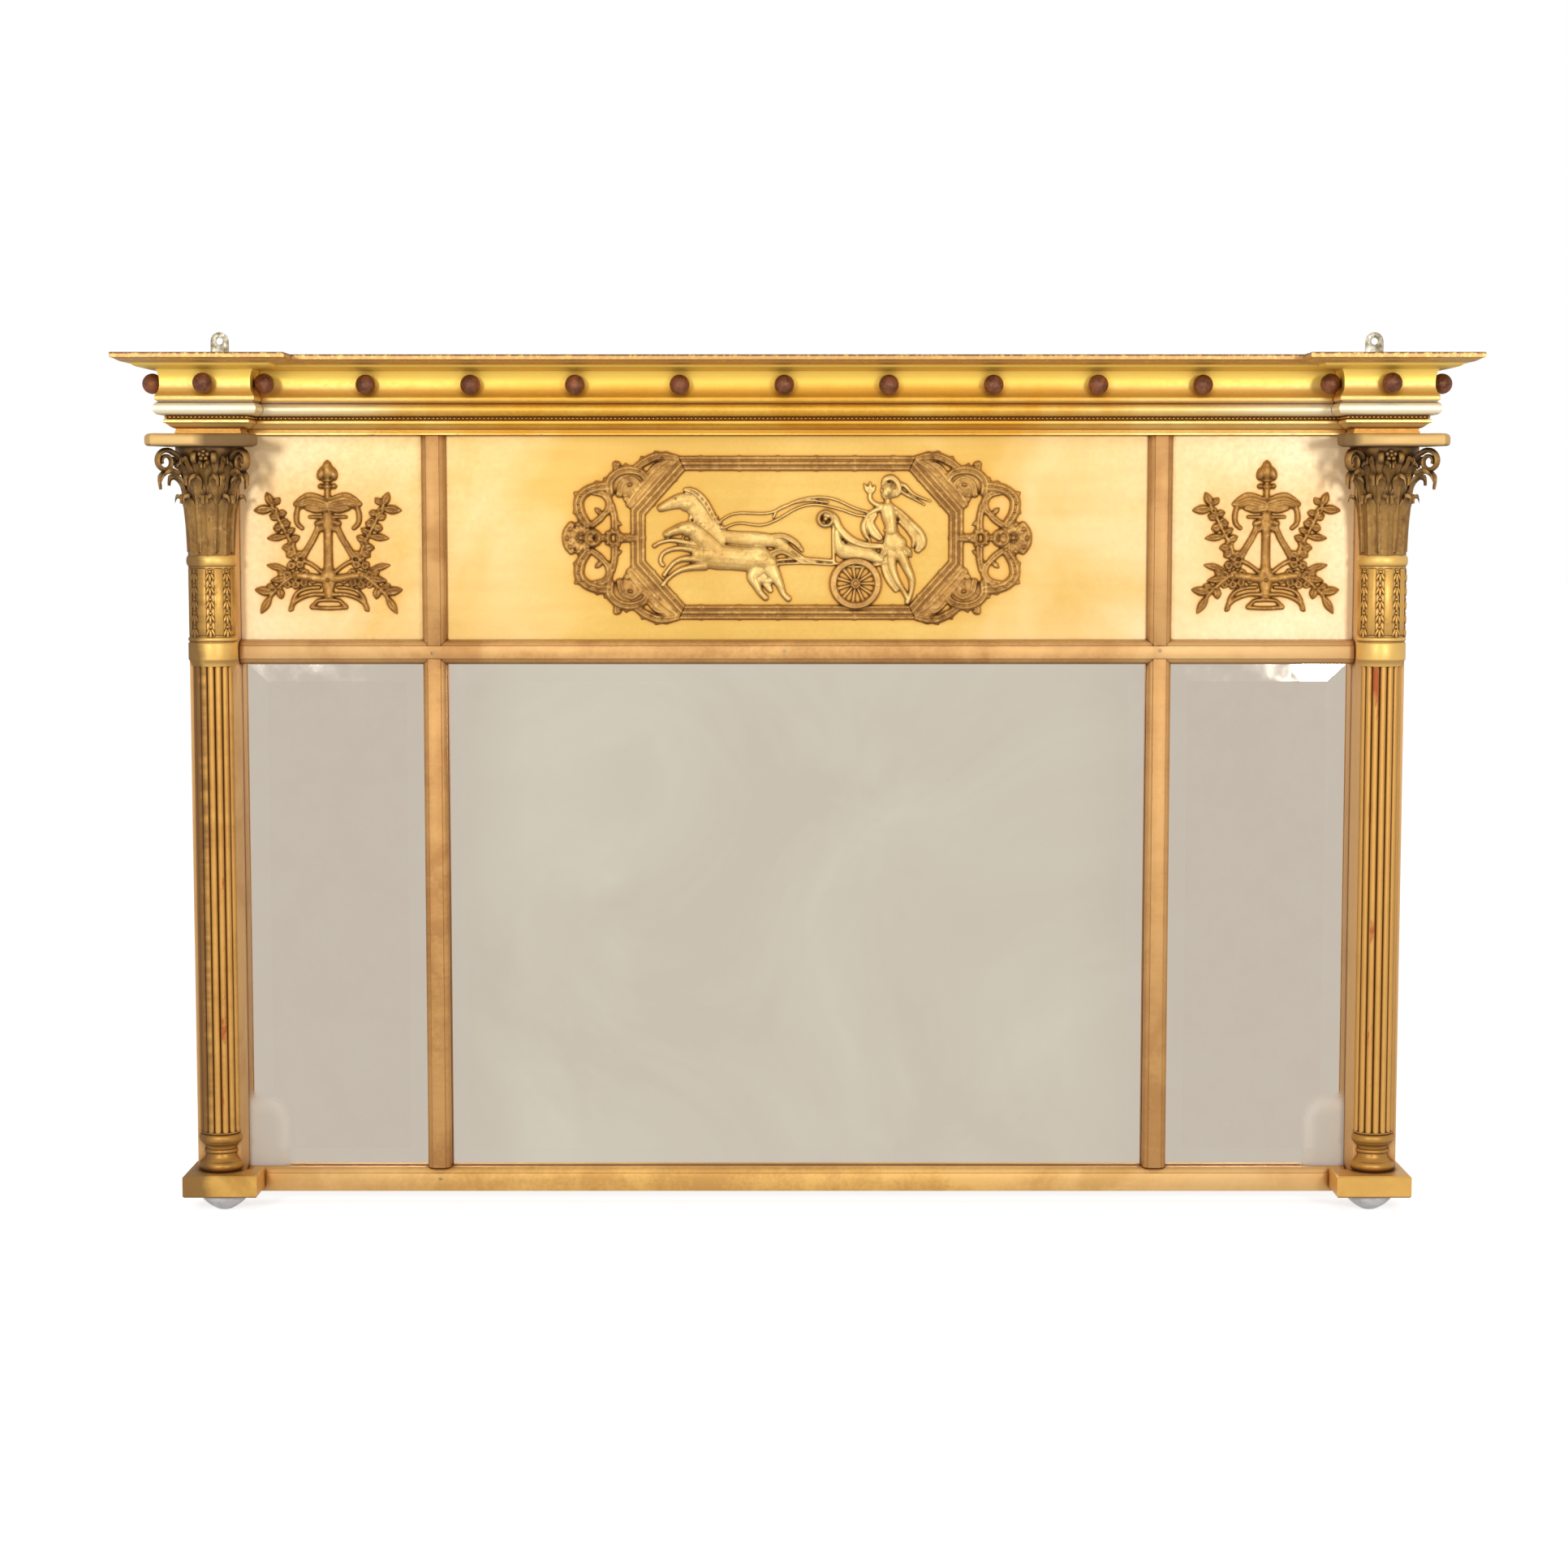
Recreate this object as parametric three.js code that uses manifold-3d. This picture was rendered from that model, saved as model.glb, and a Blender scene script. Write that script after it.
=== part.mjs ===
// A giltwood overmantel mirror in three bays: breakfront cornice with turned balls, a frieze with
// applied ornaments, two split reeded columns with leaf capitals and three bevelled plates.
// Millimetres, +Z up, front towards -Y. Origin: middle of the bottom rail, on its rear face.

import * as THREE from 'three';
import { mergeVertices } from 'three/addons/utils/BufferGeometryUtils.js';
import Module from 'manifold-3d';

const wasm = await Module();
wasm.setup();

// ---- fits ----
const fitGap = 0.3; // left between pieces that are cut to each other

// ---- carcass ----
const columnSpacing = 1266; // between the two column axes
const mullionSpacing = 796;
const mirrorSightHeight = 561;
const friezeSightHeight = 224;
const stileWidth = 60;
const stileDepth = 46;
const railDepth = 30;
const topRailDepth = 24;
const railFace = 14; // flat front of the rails and mullions
const stickingWidth = 6; // moulded edge beside the flat
const stickingDepth = 8;
const stickingQuirk = 1.5;
const bottomRailHeight = 26;
const rebateWidth = 6;
const rebateDepth = 16; // from the rear face to the shoulder

// ---- plates and boards ----
const plateThickness = 5;
const bevelWidth = 25; // measured from the edge of the plate
const bevelDrop = 1.6;
const backboardThickness = 5;
const friezePanelThickness = 8;

// ---- cornice, as heights and as distances out from the bed ----
const breakHalfWidth = 35.5;
const breakFront = 78.5; // bed of the breaks, out from the rear face
const centreFront = 32.5; // bed of the middle stretch
const bedFilletHeight = 5;
const bedQuirk = 1.5;
const bedMouldHeight = 8.5;
const bedMouldOut = 8.5;
const stringHeight = 5;
const stringOut = 2.5;
const torusHeight = 14;
const torusRoot = 13;
const torusOut = 19.5;
const lipHeight = 6;
const lipOut = 17.5;
const coveHeight = 25.5;
const coveDeep = 13;
const crownOgeeHeight = 8;
const crownOut = 56.5;
const crownFilletHeight = 10.5;

// ---- balls ----
const ballRadius = 11.3;
const ballSeat = 0.5; // height of the flat that sits against the cove
const ballPitch = 113;
const ballRowCount = 9;
const ballRowShift = -14; // the middle row stands off centre
const ballDrop = 12; // from the top of the cove to the middle of a ball
const returnBallDepth = 70;

// ---- columns ----
const columnAxisDepth = 42; // from the rear face to the column axis
const plinthHalfWidth = 40.8;
const plinthTop = 15;
const plinthHeight = 24;
const plinthEdge = 1.5;
const baseHeight = 44;
const baseLowerRadius = 25.5;
const baseWaistRadius = 19.3;
const baseUpperRadius = 27.2;
const shaftRadius = 22;
const reedCount = 16;
const drumHeight = 124;
const drumRadius = 24.5;
const drumRingRadius = 27;
const capitalHeight = 113.5;
const bellFootRadius = 22;
const bellLipRadius = 37;
const leafRelief = 4.2;
const lowerLeafReach = 14;
const upperLeafReach = 20;
const voluteRadius = 10.5;
const voluteTube = 4.5;
const abacusThickness = 13.5;
const abacusReach = 64.5; // from the axis to the tip of a horn, across
const abacusHollow = 13;
const abacusHornCut = 7;
const abacusEdge = 1.5;

// ---- pads under the plinths ----
const padRadius = 23;
const padHeight = 19;
const padFlatRadius = 8;
const padDepth = 50; // from the rear face to the middle of a pad

// ---- hanging plates ----
const hangingPlateThickness = 2.5;
const hangingEyeRadius = 9.8;
const hangingHoleRadius = 4;
const hangingScrewRadius = 2.2;
const hangingFootWidth = 30;
const hangingFootHeight = 32;
const hangingEyeRise = 19; // middle of the eye above the top of the cornice

// ---- octagonal border of the middle panel ----
const borderHalfWidth = 180;
const borderHalfHeight = 89.5;
const borderCutWidth = 56;
const borderCutHeight = 60.5;
const borderBar = 16;
const borderHeight = 5;

// ---- reliefs ----
const sprayHeight = 8;
const reliefHeight = 8;
const lyreHeight = 7;
const laurelLeafHalfWidth = 4.6;
const headRadius = 8.5; // the charioteer's head
const headX = 99.1;
const headZ = 52.1;

// ---- chariot wheel ----
const wheelRadius = 30.4;
const wheelRimWidth = 9.4;
const wheelThickness = 9;
const wheelHubRadius = 6;
const wheelSpokeCount = 10;
const wheelX = 64.3;
const wheelZ = -49.8;

// ---- worked-out places ----
const railHeight = railFace + 2 * stickingWidth;
const columnX = columnSpacing / 2;
const stileInner = columnX - stileWidth / 2;
const stileOuter = columnX + stileWidth / 2;
const railBottom = -bottomRailHeight / 2;
const mirrorBottom = bottomRailHeight / 2;
const mirrorTop = mirrorBottom + mirrorSightHeight;
const middleRailZ = mirrorTop + railHeight / 2;
const friezeBottom = mirrorTop + railHeight;
const bedBottom = friezeBottom + friezeSightHeight;
const lowerCorniceHeight = bedFilletHeight + bedQuirk + bedMouldHeight + stringHeight
  + torusHeight + lipHeight + coveHeight;
const coveTop = bedBottom + lowerCorniceHeight;
const corniceTop = coveTop + crownOgeeHeight + crownFilletHeight;
const friezeMiddle = (friezeBottom + bedBottom) / 2;
const panelFront = rebateDepth; // frieze panels lie against the rebate shoulder
const halfMullion = mullionSpacing / 2;
const sideBayX = (stileInner + halfMullion + railHeight / 2) / 2;
const sideBayWidth = stileInner - halfMullion - railHeight / 2;
const middleBayWidth = mullionSpacing - railHeight;
const columnBackDepth = stileDepth - columnAxisDepth;
const plinthBottom = plinthTop - plinthHeight;
const shaftBottom = plinthTop + baseHeight;
const abacusBottom = bedBottom - abacusThickness;
const capitalBottom = abacusBottom - capitalHeight;
const drumBottom = capitalBottom - drumHeight;
const shaftHeight = drumBottom - shaftBottom; // the shafts take up what the other pieces leave

// ---- finishes ----
const finish = (color, roughness, metalness) => new THREE.MeshStandardMaterial({
  color, roughness, metalness, flatShading: true,
});
const brightGilt = finish(0xe0b460, 0.38, 0.75);
const paleGilt = finish(0xf0d490, 0.42, 0.7);
const wornGilt = finish(0xc9954a, 0.5, 0.6);
const darkGilt = finish(0x7c5a2a, 0.6, 0.45);
const bronzedBall = finish(0x8d5430, 0.45, 0.4);
const silveredGlass = finish(0xbdb4a6, 0.08, 1);
const deal = finish(0xa98555, 0.85, 0);
const agedBrass = finish(0x9d9484, 0.45, 0.8);
const padPlastic = finish(0xdad6d2, 0.5, 0);

// ---- solids ----

// A closed solid from any geometry: shared corners merged, slivers dropped, faces turned out.
function solidOf(geometry) {
  const bare = geometry.clone();
  bare.deleteAttribute('normal');
  bare.deleteAttribute('uv');
  const merged = mergeVertices(bare);
  const position = merged.attributes.position;
  const triangles = [];
  const a = new THREE.Vector3();
  const b = new THREE.Vector3();
  const c = new THREE.Vector3();
  let volume = 0;
  for (let i = 0; i < merged.index.count; i += 3) {
    const corner = [0, 1, 2].map((k) => merged.index.getX(i + k));
    if (new Set(corner).size < 3) continue;
    triangles.push(corner);
    a.fromBufferAttribute(position, corner[0]);
    b.fromBufferAttribute(position, corner[1]);
    c.fromBufferAttribute(position, corner[2]);
    volume += a.dot(b.cross(c));
  }
  const turned = volume < 0 ? triangles.map(([p, q, r]) => [p, r, q]) : triangles;
  return new wasm.Manifold(new wasm.Mesh({
    numProp: 3,
    vertProperties: new Float32Array(position.array),
    triVerts: new Uint32Array(turned.flat()),
  }));
}

function geometryOf(solid) {
  const mesh = solid.getMesh();
  const geometry = new THREE.BufferGeometry();
  geometry.setAttribute('position', new THREE.BufferAttribute(mesh.vertProperties, mesh.numProp));
  geometry.setIndex(new THREE.BufferAttribute(mesh.triVerts, 1));
  geometry.computeVertexNormals();
  return geometry;
}

function joined(geometries) {
  return geometries.map(solidOf).reduce((whole, piece) => whole.add(piece));
}

function cutBy(geometry, cutters) {
  return geometryOf(cutters.reduce((rest, cutter) => rest.subtract(solidOf(cutter)), solidOf(geometry)));
}

// A box between two corners.
function block(x0, x1, y0, y1, z0, z1) {
  const box = new THREE.BoxGeometry(x1 - x0, y1 - y0, z1 - z0);
  return box.translate((x0 + x1) / 2, (y0 + y1) / 2, (z0 + z1) / 2);
}

// The same on the left or the right: measured sideways from the middle, and back from a depth.
function sideBlock(side, near, far, depth, z0, z1) {
  return block(Math.min(side * near, side * far), Math.max(side * near, side * far), -depth, 1, z0, z1);
}

// Skins a row of rings that have the same number of corners; capPlan is the ring laid flat.
function loftRings(rings, capPlan) {
  const size = rings[0].length;
  const positions = rings.flat().flatMap((point) => [point.x, point.y, point.z]);
  const index = [];
  for (let i = 0; i < rings.length - 1; i += 1) {
    for (let k = 0; k < size; k += 1) {
      const next = (k + 1) % size;
      const [a, b] = [i * size + k, i * size + next];
      index.push(a, b, b + size, a, b + size, a + size);
    }
  }
  const last = (rings.length - 1) * size;
  const clockwise = THREE.ShapeUtils.isClockWise(capPlan);
  for (const [a, b, c] of THREE.ShapeUtils.triangulateShape(capPlan, [])) {
    const [p, q] = clockwise ? [c, b] : [b, c];
    index.push(a, q, p, last + a, last + p, last + q);
  }
  const geometry = new THREE.BufferGeometry();
  geometry.setAttribute('position', new THREE.Float32BufferAttribute(positions, 3));
  geometry.setIndex(index);
  return geometry;
}

const squarePlan = [[-1, -1], [1, -1], [1, 1], [-1, 1]].map(([x, y]) => new THREE.Vector2(x, y));

// A block whose front and two sides follow a moulding, mitred at the corners, with a flat back.
function mouldedBlock(profile, { x, halfWidth, front, back }) {
  const rings = profile.map(([out, z]) => [
    new THREE.Vector3(x - halfWidth - out, -front - out, z),
    new THREE.Vector3(x + halfWidth + out, -front - out, z),
    new THREE.Vector3(x + halfWidth + out, -back, z),
    new THREE.Vector3(x - halfWidth - out, -back, z),
  ]);
  return loftRings(rings, squarePlan);
}

// Turned about Z from a profile of [radius, height].
function turned(profile, segments = 16) {
  const points = profile.map(([radius, height]) => new THREE.Vector2(radius, height));
  return new THREE.LatheGeometry(points, segments).rotateX(Math.PI / 2);
}

// The front half of a column piece: everything behind the face of the stile is cut off.
function splitTurning(geometry) {
  const reach = 2 * abacusReach;
  const behind = block(-reach, reach, -columnBackDepth, reach, -reach, shaftHeight + reach);
  return solidOf(geometry).subtract(solidOf(behind));
}

// An outline in the XZ plane pushed back in Y from y = 0.
function plateOf(shape, thickness) {
  const geometry = new THREE.ExtrudeGeometry(shape, {
    depth: thickness, bevelEnabled: false, curveSegments: 5,
  });
  return geometry.rotateX(Math.PI / 2);
}

// Sweeps a section through frames; each frame has a point, a side vector and an out vector.
function sweep(frames, section) {
  const rings = frames.map(({ at, side, out }) => section.map(([s, t]) => at.clone()
    .addScaledVector(side, s)
    .addScaledVector(out, t)));
  return loftRings(rings, section.map(([s, t]) => new THREE.Vector2(s, t)));
}

const domed = [[-1, 0], [-0.5, 0.95], [0.5, 0.95], [1, 0]];
const ridged = [[-1, 0], [0, 1], [1, 0]];

// Thin strokes come to a ridge, wide ones have a rounded top.
function strokeSection(points) {
  const widest = Math.max(...points.map(([, , halfWidth]) => halfWidth));
  return widest < 7.5 ? ridged : domed;
}

// A raised stroke on a flat ground: points are [x, z, half width], relief stands out towards -Y.
function stroke(points, height, section = strokeSection(points), steps = points.length - 1) {
  const curve = new THREE.CatmullRomCurve3(points.map(([x, z, w]) => new THREE.Vector3(x, w, z)));
  const frames = [];
  for (let i = 0; i <= steps; i += 1) {
    const point = curve.getPoint(i / steps);
    const along = curve.getTangent(i / steps).setY(0).normalize();
    const halfWidth = Math.max(point.y, 0.6);
    frames.push({
      at: new THREE.Vector3(point.x, 0, point.z),
      side: new THREE.Vector3(along.z, 0, -along.x).multiplyScalar(halfWidth),
      out: new THREE.Vector3(0, -Math.min(height, 1.2 * halfWidth + 1), 0),
    });
  }
  return sweep(frames, section);
}

// A pointed leaf from its base to its tip.
function leaf(base, tip, halfWidth, height) {
  const at = (t, w) => [
    THREE.MathUtils.lerp(base[0], tip[0], t),
    THREE.MathUtils.lerp(base[1], tip[1], t),
    w,
  ];
  return stroke([at(0, halfWidth * 0.4), at(0.5, halfWidth), at(1, 0.6)], height, ridged, 2);
}

// A raised ring on a flat ground.
function raisedRing(x, z, radius, halfWidth, height, segments = 10) {
  const profile = domed.map(([s, t]) => [radius + s * halfWidth, t * height]);
  profile.push(profile[0]);
  return turned(profile, segments).rotateX(Math.PI / 2).translate(x, 0, z);
}

// A raised round boss on a flat ground.
function boss(x, z, radius, height, segments = 8) {
  return turned([[0, 0], [radius, 0], [radius * 0.75, height * 0.75], [0, height]], segments)
    .rotateX(Math.PI / 2)
    .translate(x, 0, z);
}

const mirrorX = (points) => points.map(([x, ...rest]) => [-x, ...rest]);

// ---- scene graph ----
const mirror = new THREE.Group();

function place(name, geometry, material, position = [0, 0, 0], rotation = [0, 0, 0], parent = mirror) {
  const mesh = new THREE.Mesh(geometryOf(solidOf(geometry)), material);
  mesh.name = name;
  mesh.position.set(...position);
  mesh.rotation.set(...rotation);
  parent.add(mesh);
  return mesh;
}

const sides = [['left', -1], ['right', 1]];

// ---- carcass: rails and mullions ----

// The moulded edge of a rail as [across, depth], from the flat front round to the rebate shoulder.
function stickingEdge(faceEdge, outward) {
  const depthDrop = stickingDepth - stickingQuirk;
  const edge = [[faceEdge, railDepth], [faceEdge, railDepth - stickingQuirk]];
  for (const turn of [30, 60, 90]) {
    const angle = THREE.MathUtils.degToRad(turn);
    edge.push([
      faceEdge + outward * stickingWidth * Math.sin(angle),
      railDepth - stickingQuirk - depthDrop * (1 - Math.cos(angle)),
    ]);
  }
  edge.push([faceEdge + outward * stickingWidth, rebateDepth]);
  edge.push([faceEdge + outward * (stickingWidth - rebateWidth), rebateDepth]);
  edge.push([faceEdge + outward * (stickingWidth - rebateWidth), 0]);
  return edge;
}

// A straight rail of that section; across runs up for a rail and sideways for a mullion.
function railAlongX(section, x0, x1) {
  const ring = (x) => section.map(([across, depth]) => new THREE.Vector3(x, -depth, across));
  return loftRings([ring(x0), ring(x1)], section.map(([a, d]) => new THREE.Vector2(a, d)));
}

function railAlongZ(section, z0, z1) {
  const ring = (z) => section.map(([across, depth]) => new THREE.Vector3(across, -depth, z));
  return loftRings([ring(z0), ring(z1)], section.map(([a, d]) => new THREE.Vector2(a, d)));
}

const bothEdges = [
  ...stickingEdge(-railFace / 2, -1).reverse(),
  ...stickingEdge(railFace / 2, 1),
];
const bottomEdges = [
  [railBottom, 0],
  [railBottom, railDepth],
  ...stickingEdge(mirrorBottom - stickingWidth, 1),
];
const halvingDepth = rebateDepth - stickingQuirk;

place('bottom_rail', railAlongX(bottomEdges, -stileInner, stileInner), wornGilt);

const middleRail = railAlongX(bothEdges, -stileInner, stileInner).translate(0, 0, middleRailZ);
const halvings = sides.map(([, side]) => {
  const x = side * halfMullion;
  const web = railFace / 2 + fitGap;
  return block(x - web, x + web, -halvingDepth - fitGap, fitGap, mirrorTop - 1, friezeBottom + 1);
});
place('middle_rail', cutBy(middleRail, halvings), brightGilt);

// A mullion keeps its rear half behind the middle rail and is coped over the rail's front.
function copeDepth(depth) {
  if (depth === 0) return halvingDepth;
  return depth === rebateDepth ? depth - fitGap : depth + fitGap;
}

for (const [label, side] of sides) {
  const upright = railAlongZ(bothEdges, mirrorBottom, bedBottom).translate(side * halfMullion, 0, 0);
  const cope = bothEdges.map(([across, depth]) => [
    across + Math.sign(across) * fitGap,
    copeDepth(depth),
  ]);
  const coping = railAlongX(cope, side * halfMullion - railHeight, side * halfMullion + railHeight);
  place(`mullion_${label}`, cutBy(upright, [coping.translate(0, 0, middleRailZ)]), brightGilt);
}

// Top rail behind the cornice, rebated below for the frieze panels.
const topRailSection = [
  [bedBottom, topRailDepth],
  [coveTop, topRailDepth],
  [coveTop, 0],
  [bedBottom + rebateWidth, 0],
  [bedBottom + rebateWidth, rebateDepth],
  [bedBottom, rebateDepth],
];
place('top_rail', railAlongX(topRailSection, -stileInner, stileInner), deal);

// ---- hanging plates ----
const eyeZ = corniceTop + hangingEyeRise;
const hangingFootBottom = coveTop - hangingFootHeight;

function hangingPlateShape(grow) {
  const shape = new THREE.Shape();
  const halfFoot = hangingFootWidth / 2 + grow;
  const radius = hangingEyeRadius + grow;
  shape.moveTo(-halfFoot, hangingFootBottom - grow);
  shape.lineTo(halfFoot, hangingFootBottom - grow);
  shape.lineTo(halfFoot, coveTop - hangingEyeRadius);
  shape.quadraticCurveTo(radius, coveTop, radius, eyeZ);
  shape.absarc(0, eyeZ, radius, 0, Math.PI, false);
  shape.quadraticCurveTo(-radius, coveTop, -halfFoot, coveTop - hangingEyeRadius);
  return shape;
}

function hangingPlate() {
  const shape = hangingPlateShape(0);
  const holes = [
    [0, eyeZ, hangingHoleRadius],
    [-hangingFootWidth / 4, hangingFootBottom + hangingFootHeight / 4, hangingScrewRadius],
    [hangingFootWidth / 4, hangingFootBottom + hangingFootHeight / 4, hangingScrewRadius],
  ];
  for (const [x, z, radius] of holes) {
    shape.holes.push(new THREE.Path().absarc(x, z, radius, 0, 2 * Math.PI, true));
  }
  return plateOf(shape, hangingPlateThickness);
}

function hangingRecess(x) {
  const depth = hangingPlateThickness + fitGap;
  return plateOf(hangingPlateShape(fitGap), depth + 1).translate(x, 1, 0);
}

for (const [label, side] of sides) {
  place(`hanging_plate_${label}`, hangingPlate(), agedBrass, [side * columnX, 0, 0]);
}

// ---- stiles ----
for (const [label, side] of sides) {
  const section = [
    [stileOuter, 0],
    [stileOuter, stileDepth],
    [stileInner, stileDepth],
    [stileInner, rebateDepth],
    [stileInner + rebateWidth, rebateDepth],
    [stileInner + rebateWidth, 0],
  ].map(([x, depth]) => [side * x, depth]);
  const stile = railAlongZ(section, plinthBottom, coveTop);
  place(`stile_${label}`, cutBy(stile, [hangingRecess(side * columnX)]), wornGilt);
}

// ---- cornice ----
function lowerProfile() {
  const profile = [[0, bedBottom]];
  let z = bedBottom + bedFilletHeight;
  profile.push([0, z], [-1, z + bedQuirk / 2]);
  z += bedQuirk;
  profile.push([0.5, z], [bedMouldOut * 0.35, z + bedMouldHeight * 0.25]);
  profile.push([bedMouldOut * 0.7, z + bedMouldHeight * 0.6], [bedMouldOut, z + bedMouldHeight]);
  z += bedMouldHeight;
  profile.push([bedMouldOut + stringOut, z + stringHeight * 0.3]);
  profile.push([bedMouldOut + stringOut, z + stringHeight * 0.7], [bedMouldOut, z + stringHeight * 0.98]);
  z += stringHeight;
  for (let turn = -90; turn <= 90; turn += 30) {
    const angle = THREE.MathUtils.degToRad(turn);
    profile.push([
      torusRoot + (torusOut - torusRoot) * Math.cos(angle),
      z + (torusHeight / 2) * (1 + Math.sin(angle)),
    ]);
  }
  z += torusHeight;
  profile.push([lipOut, z], [lipOut, z + lipHeight]);
  z += lipHeight;
  const ballHeight = coveTop - ballDrop;
  const lower = new THREE.QuadraticBezierCurve(
    new THREE.Vector2(lipOut + 1, z),
    new THREE.Vector2(coveDeep, z + coveHeight * 0.15),
    new THREE.Vector2(coveDeep, ballHeight),
  );
  const upper = new THREE.QuadraticBezierCurve(
    new THREE.Vector2(coveDeep, ballHeight),
    new THREE.Vector2(coveDeep, coveTop - coveHeight * 0.1),
    new THREE.Vector2(lipOut - 1, coveTop),
  );
  for (const point of [...lower.getPoints(4), ...upper.getPoints(4).slice(1)]) {
    profile.push([point.x, point.y]);
  }
  return profile;
}

function crownProfile() {
  const ogee = new THREE.CubicBezierCurve(
    new THREE.Vector2(lipOut, coveTop),
    new THREE.Vector2(lipOut + (crownOut - lipOut) * 0.55, coveTop + crownOgeeHeight * 0.1),
    new THREE.Vector2(lipOut + (crownOut - lipOut) * 0.4, coveTop + crownOgeeHeight * 0.9),
    new THREE.Vector2(crownOut - 1.5, coveTop + crownOgeeHeight),
  );
  const profile = ogee.getPoints(6).map((point) => [point.x, point.y]);
  profile.push([crownOut, coveTop + crownOgeeHeight + 1], [crownOut, corniceTop - 1.2]);
  profile.push([crownOut - 1.2, corniceTop]);
  return profile;
}

const lower = lowerProfile();
const breakBlock = (side, grow) => ({
  x: side * columnX, halfWidth: breakHalfWidth + grow, front: breakFront + grow, back: -grow,
});

// Middle stretch, coped over the returns of the two breaks.
const [bedEdge, coveEdge] = [lower[0], lower[lower.length - 1]];
const copingProfile = [[bedEdge[0], bedEdge[1] - 1], ...lower, [coveEdge[0], coveEdge[1] + 1]];
const middleStretch = mouldedBlock(lower, {
  x: 0, halfWidth: columnX, front: centreFront, back: topRailDepth,
});
const breakCopings = sides.map(([, side]) => mouldedBlock(copingProfile, breakBlock(side, fitGap)));
place('cornice_moulding_centre', cutBy(middleStretch, breakCopings), brightGilt);

// Breaks over the columns, boxed round the heads of the stiles.
for (const [label, side] of sides) {
  const stileHead = sideBlock(side, stileInner, stileOuter, stileDepth, bedBottom - 1, coveTop + 1);
  const railEnd = sideBlock(side, 0, stileInner, topRailDepth, bedBottom - 1, coveTop + 1);
  const breakPiece = cutBy(mouldedBlock(lower, breakBlock(side, 0)), [stileHead, railEnd]);
  place(`cornice_break_${label}`, breakPiece, brightGilt);
}

// Crown: one breakfront board with its ogee edge, let in behind for the hanging plates.
const crown = crownProfile();
const crownBlocks = [
  mouldedBlock(crown, { x: 0, halfWidth: columnX, front: centreFront, back: 0 }),
  ...sides.map(([, side]) => mouldedBlock(crown, breakBlock(side, 0))),
];
const crownRecesses = sides.map(([, side]) => hangingRecess(side * columnX));
place('cornice_crown', cutBy(geometryOf(joined(crownBlocks)), crownRecesses), brightGilt);

// ---- balls ----
function ballGeometry() {
  const profile = [[0, ballSeat - ballRadius]];
  const startAngle = -Math.acos((ballRadius - ballSeat) / ballRadius);
  const arcSteps = 4;
  for (let i = 0; i <= arcSteps; i += 1) {
    const angle = THREE.MathUtils.lerp(-Math.PI / 2 - startAngle, Math.PI / 2, i / arcSteps);
    const radius = i === arcSteps ? 0 : ballRadius * Math.cos(angle);
    profile.push([radius, ballRadius * Math.sin(angle)]);
  }
  return turned(profile, 9);
}

const ball = ballGeometry();
const ballZ = coveTop - ballDrop;
const ballOut = coveDeep + fitGap + ballRadius - ballSeat;
const facing = { front: [Math.PI / 2, 0, 0], left: [0, -Math.PI / 2, 0], right: [0, Math.PI / 2, 0] };
const returnReach = breakHalfWidth + ballOut;
const ballPlaces = [
  [-columnX - returnReach, returnBallDepth, facing.left],
  [-columnX, breakFront + ballOut, facing.front],
  [-columnX + returnReach, returnBallDepth, facing.right],
];
for (let i = 0; i < ballRowCount; i += 1) {
  const x = ballRowShift + (i - (ballRowCount - 1) / 2) * ballPitch;
  ballPlaces.push([x, centreFront + ballOut, facing.front]);
}
ballPlaces.push(
  [columnX - returnReach, returnBallDepth, facing.left],
  [columnX, breakFront + ballOut, facing.front],
  [columnX + returnReach, returnBallDepth, facing.right],
);
ballPlaces.forEach(([x, depth, rotation], i) => {
  const label = String(i + 1).padStart(2, '0');
  place(`ball_${label}`, ball, bronzedBall, [x, -depth, ballZ], rotation);
});

// ---- plates, backboards and frieze panels ----

// A plate in the XZ plane, front face at y = 0, with a ground bevel all round.
function bevelledPlate(width, height) {
  const ring = (inset, depth) => [[-1, -1], [1, -1], [1, 1], [-1, 1]].map(([sx, sz]) => (
    new THREE.Vector3(sx * (width / 2 - inset), depth, sz * (height / 2 - inset))
  ));
  return loftRings([ring(0, plateThickness), ring(0, bevelDrop), ring(bevelWidth, 0)], squarePlan);
}

const tuck = rebateWidth - fitGap; // how far a plate or panel runs under the rebate
const bays = [
  ['left', -sideBayX, sideBayWidth],
  ['centre', 0, middleBayWidth],
  ['right', sideBayX, sideBayWidth],
];
for (const [label, x, sightWidth] of bays) {
  const width = sightWidth + 2 * tuck;
  const plateHeight = mirrorSightHeight + 2 * tuck;
  const plateMiddle = (mirrorBottom + mirrorTop) / 2;
  const plateFront = rebateDepth - fitGap;
  const boardFront = plateFront - plateThickness - fitGap;
  const boardBack = boardFront - backboardThickness;
  place(`mirror_plate_${label}`, bevelledPlate(width, plateHeight), silveredGlass,
    [x, -plateFront, plateMiddle]);
  place(`backboard_${label}`, block(
    -width / 2, width / 2, -boardFront, -boardBack, -plateHeight / 2, plateHeight / 2,
  ), deal, [x, 0, plateMiddle]);
  const panelHeight = friezeSightHeight + 2 * tuck;
  place(`frieze_panel_${label}`, block(
    -width / 2, width / 2, -panelFront, -panelFront + friezePanelThickness, -panelHeight / 2, panelHeight / 2,
  ), paleGilt, [x, 0, friezeMiddle]);
}

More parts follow.
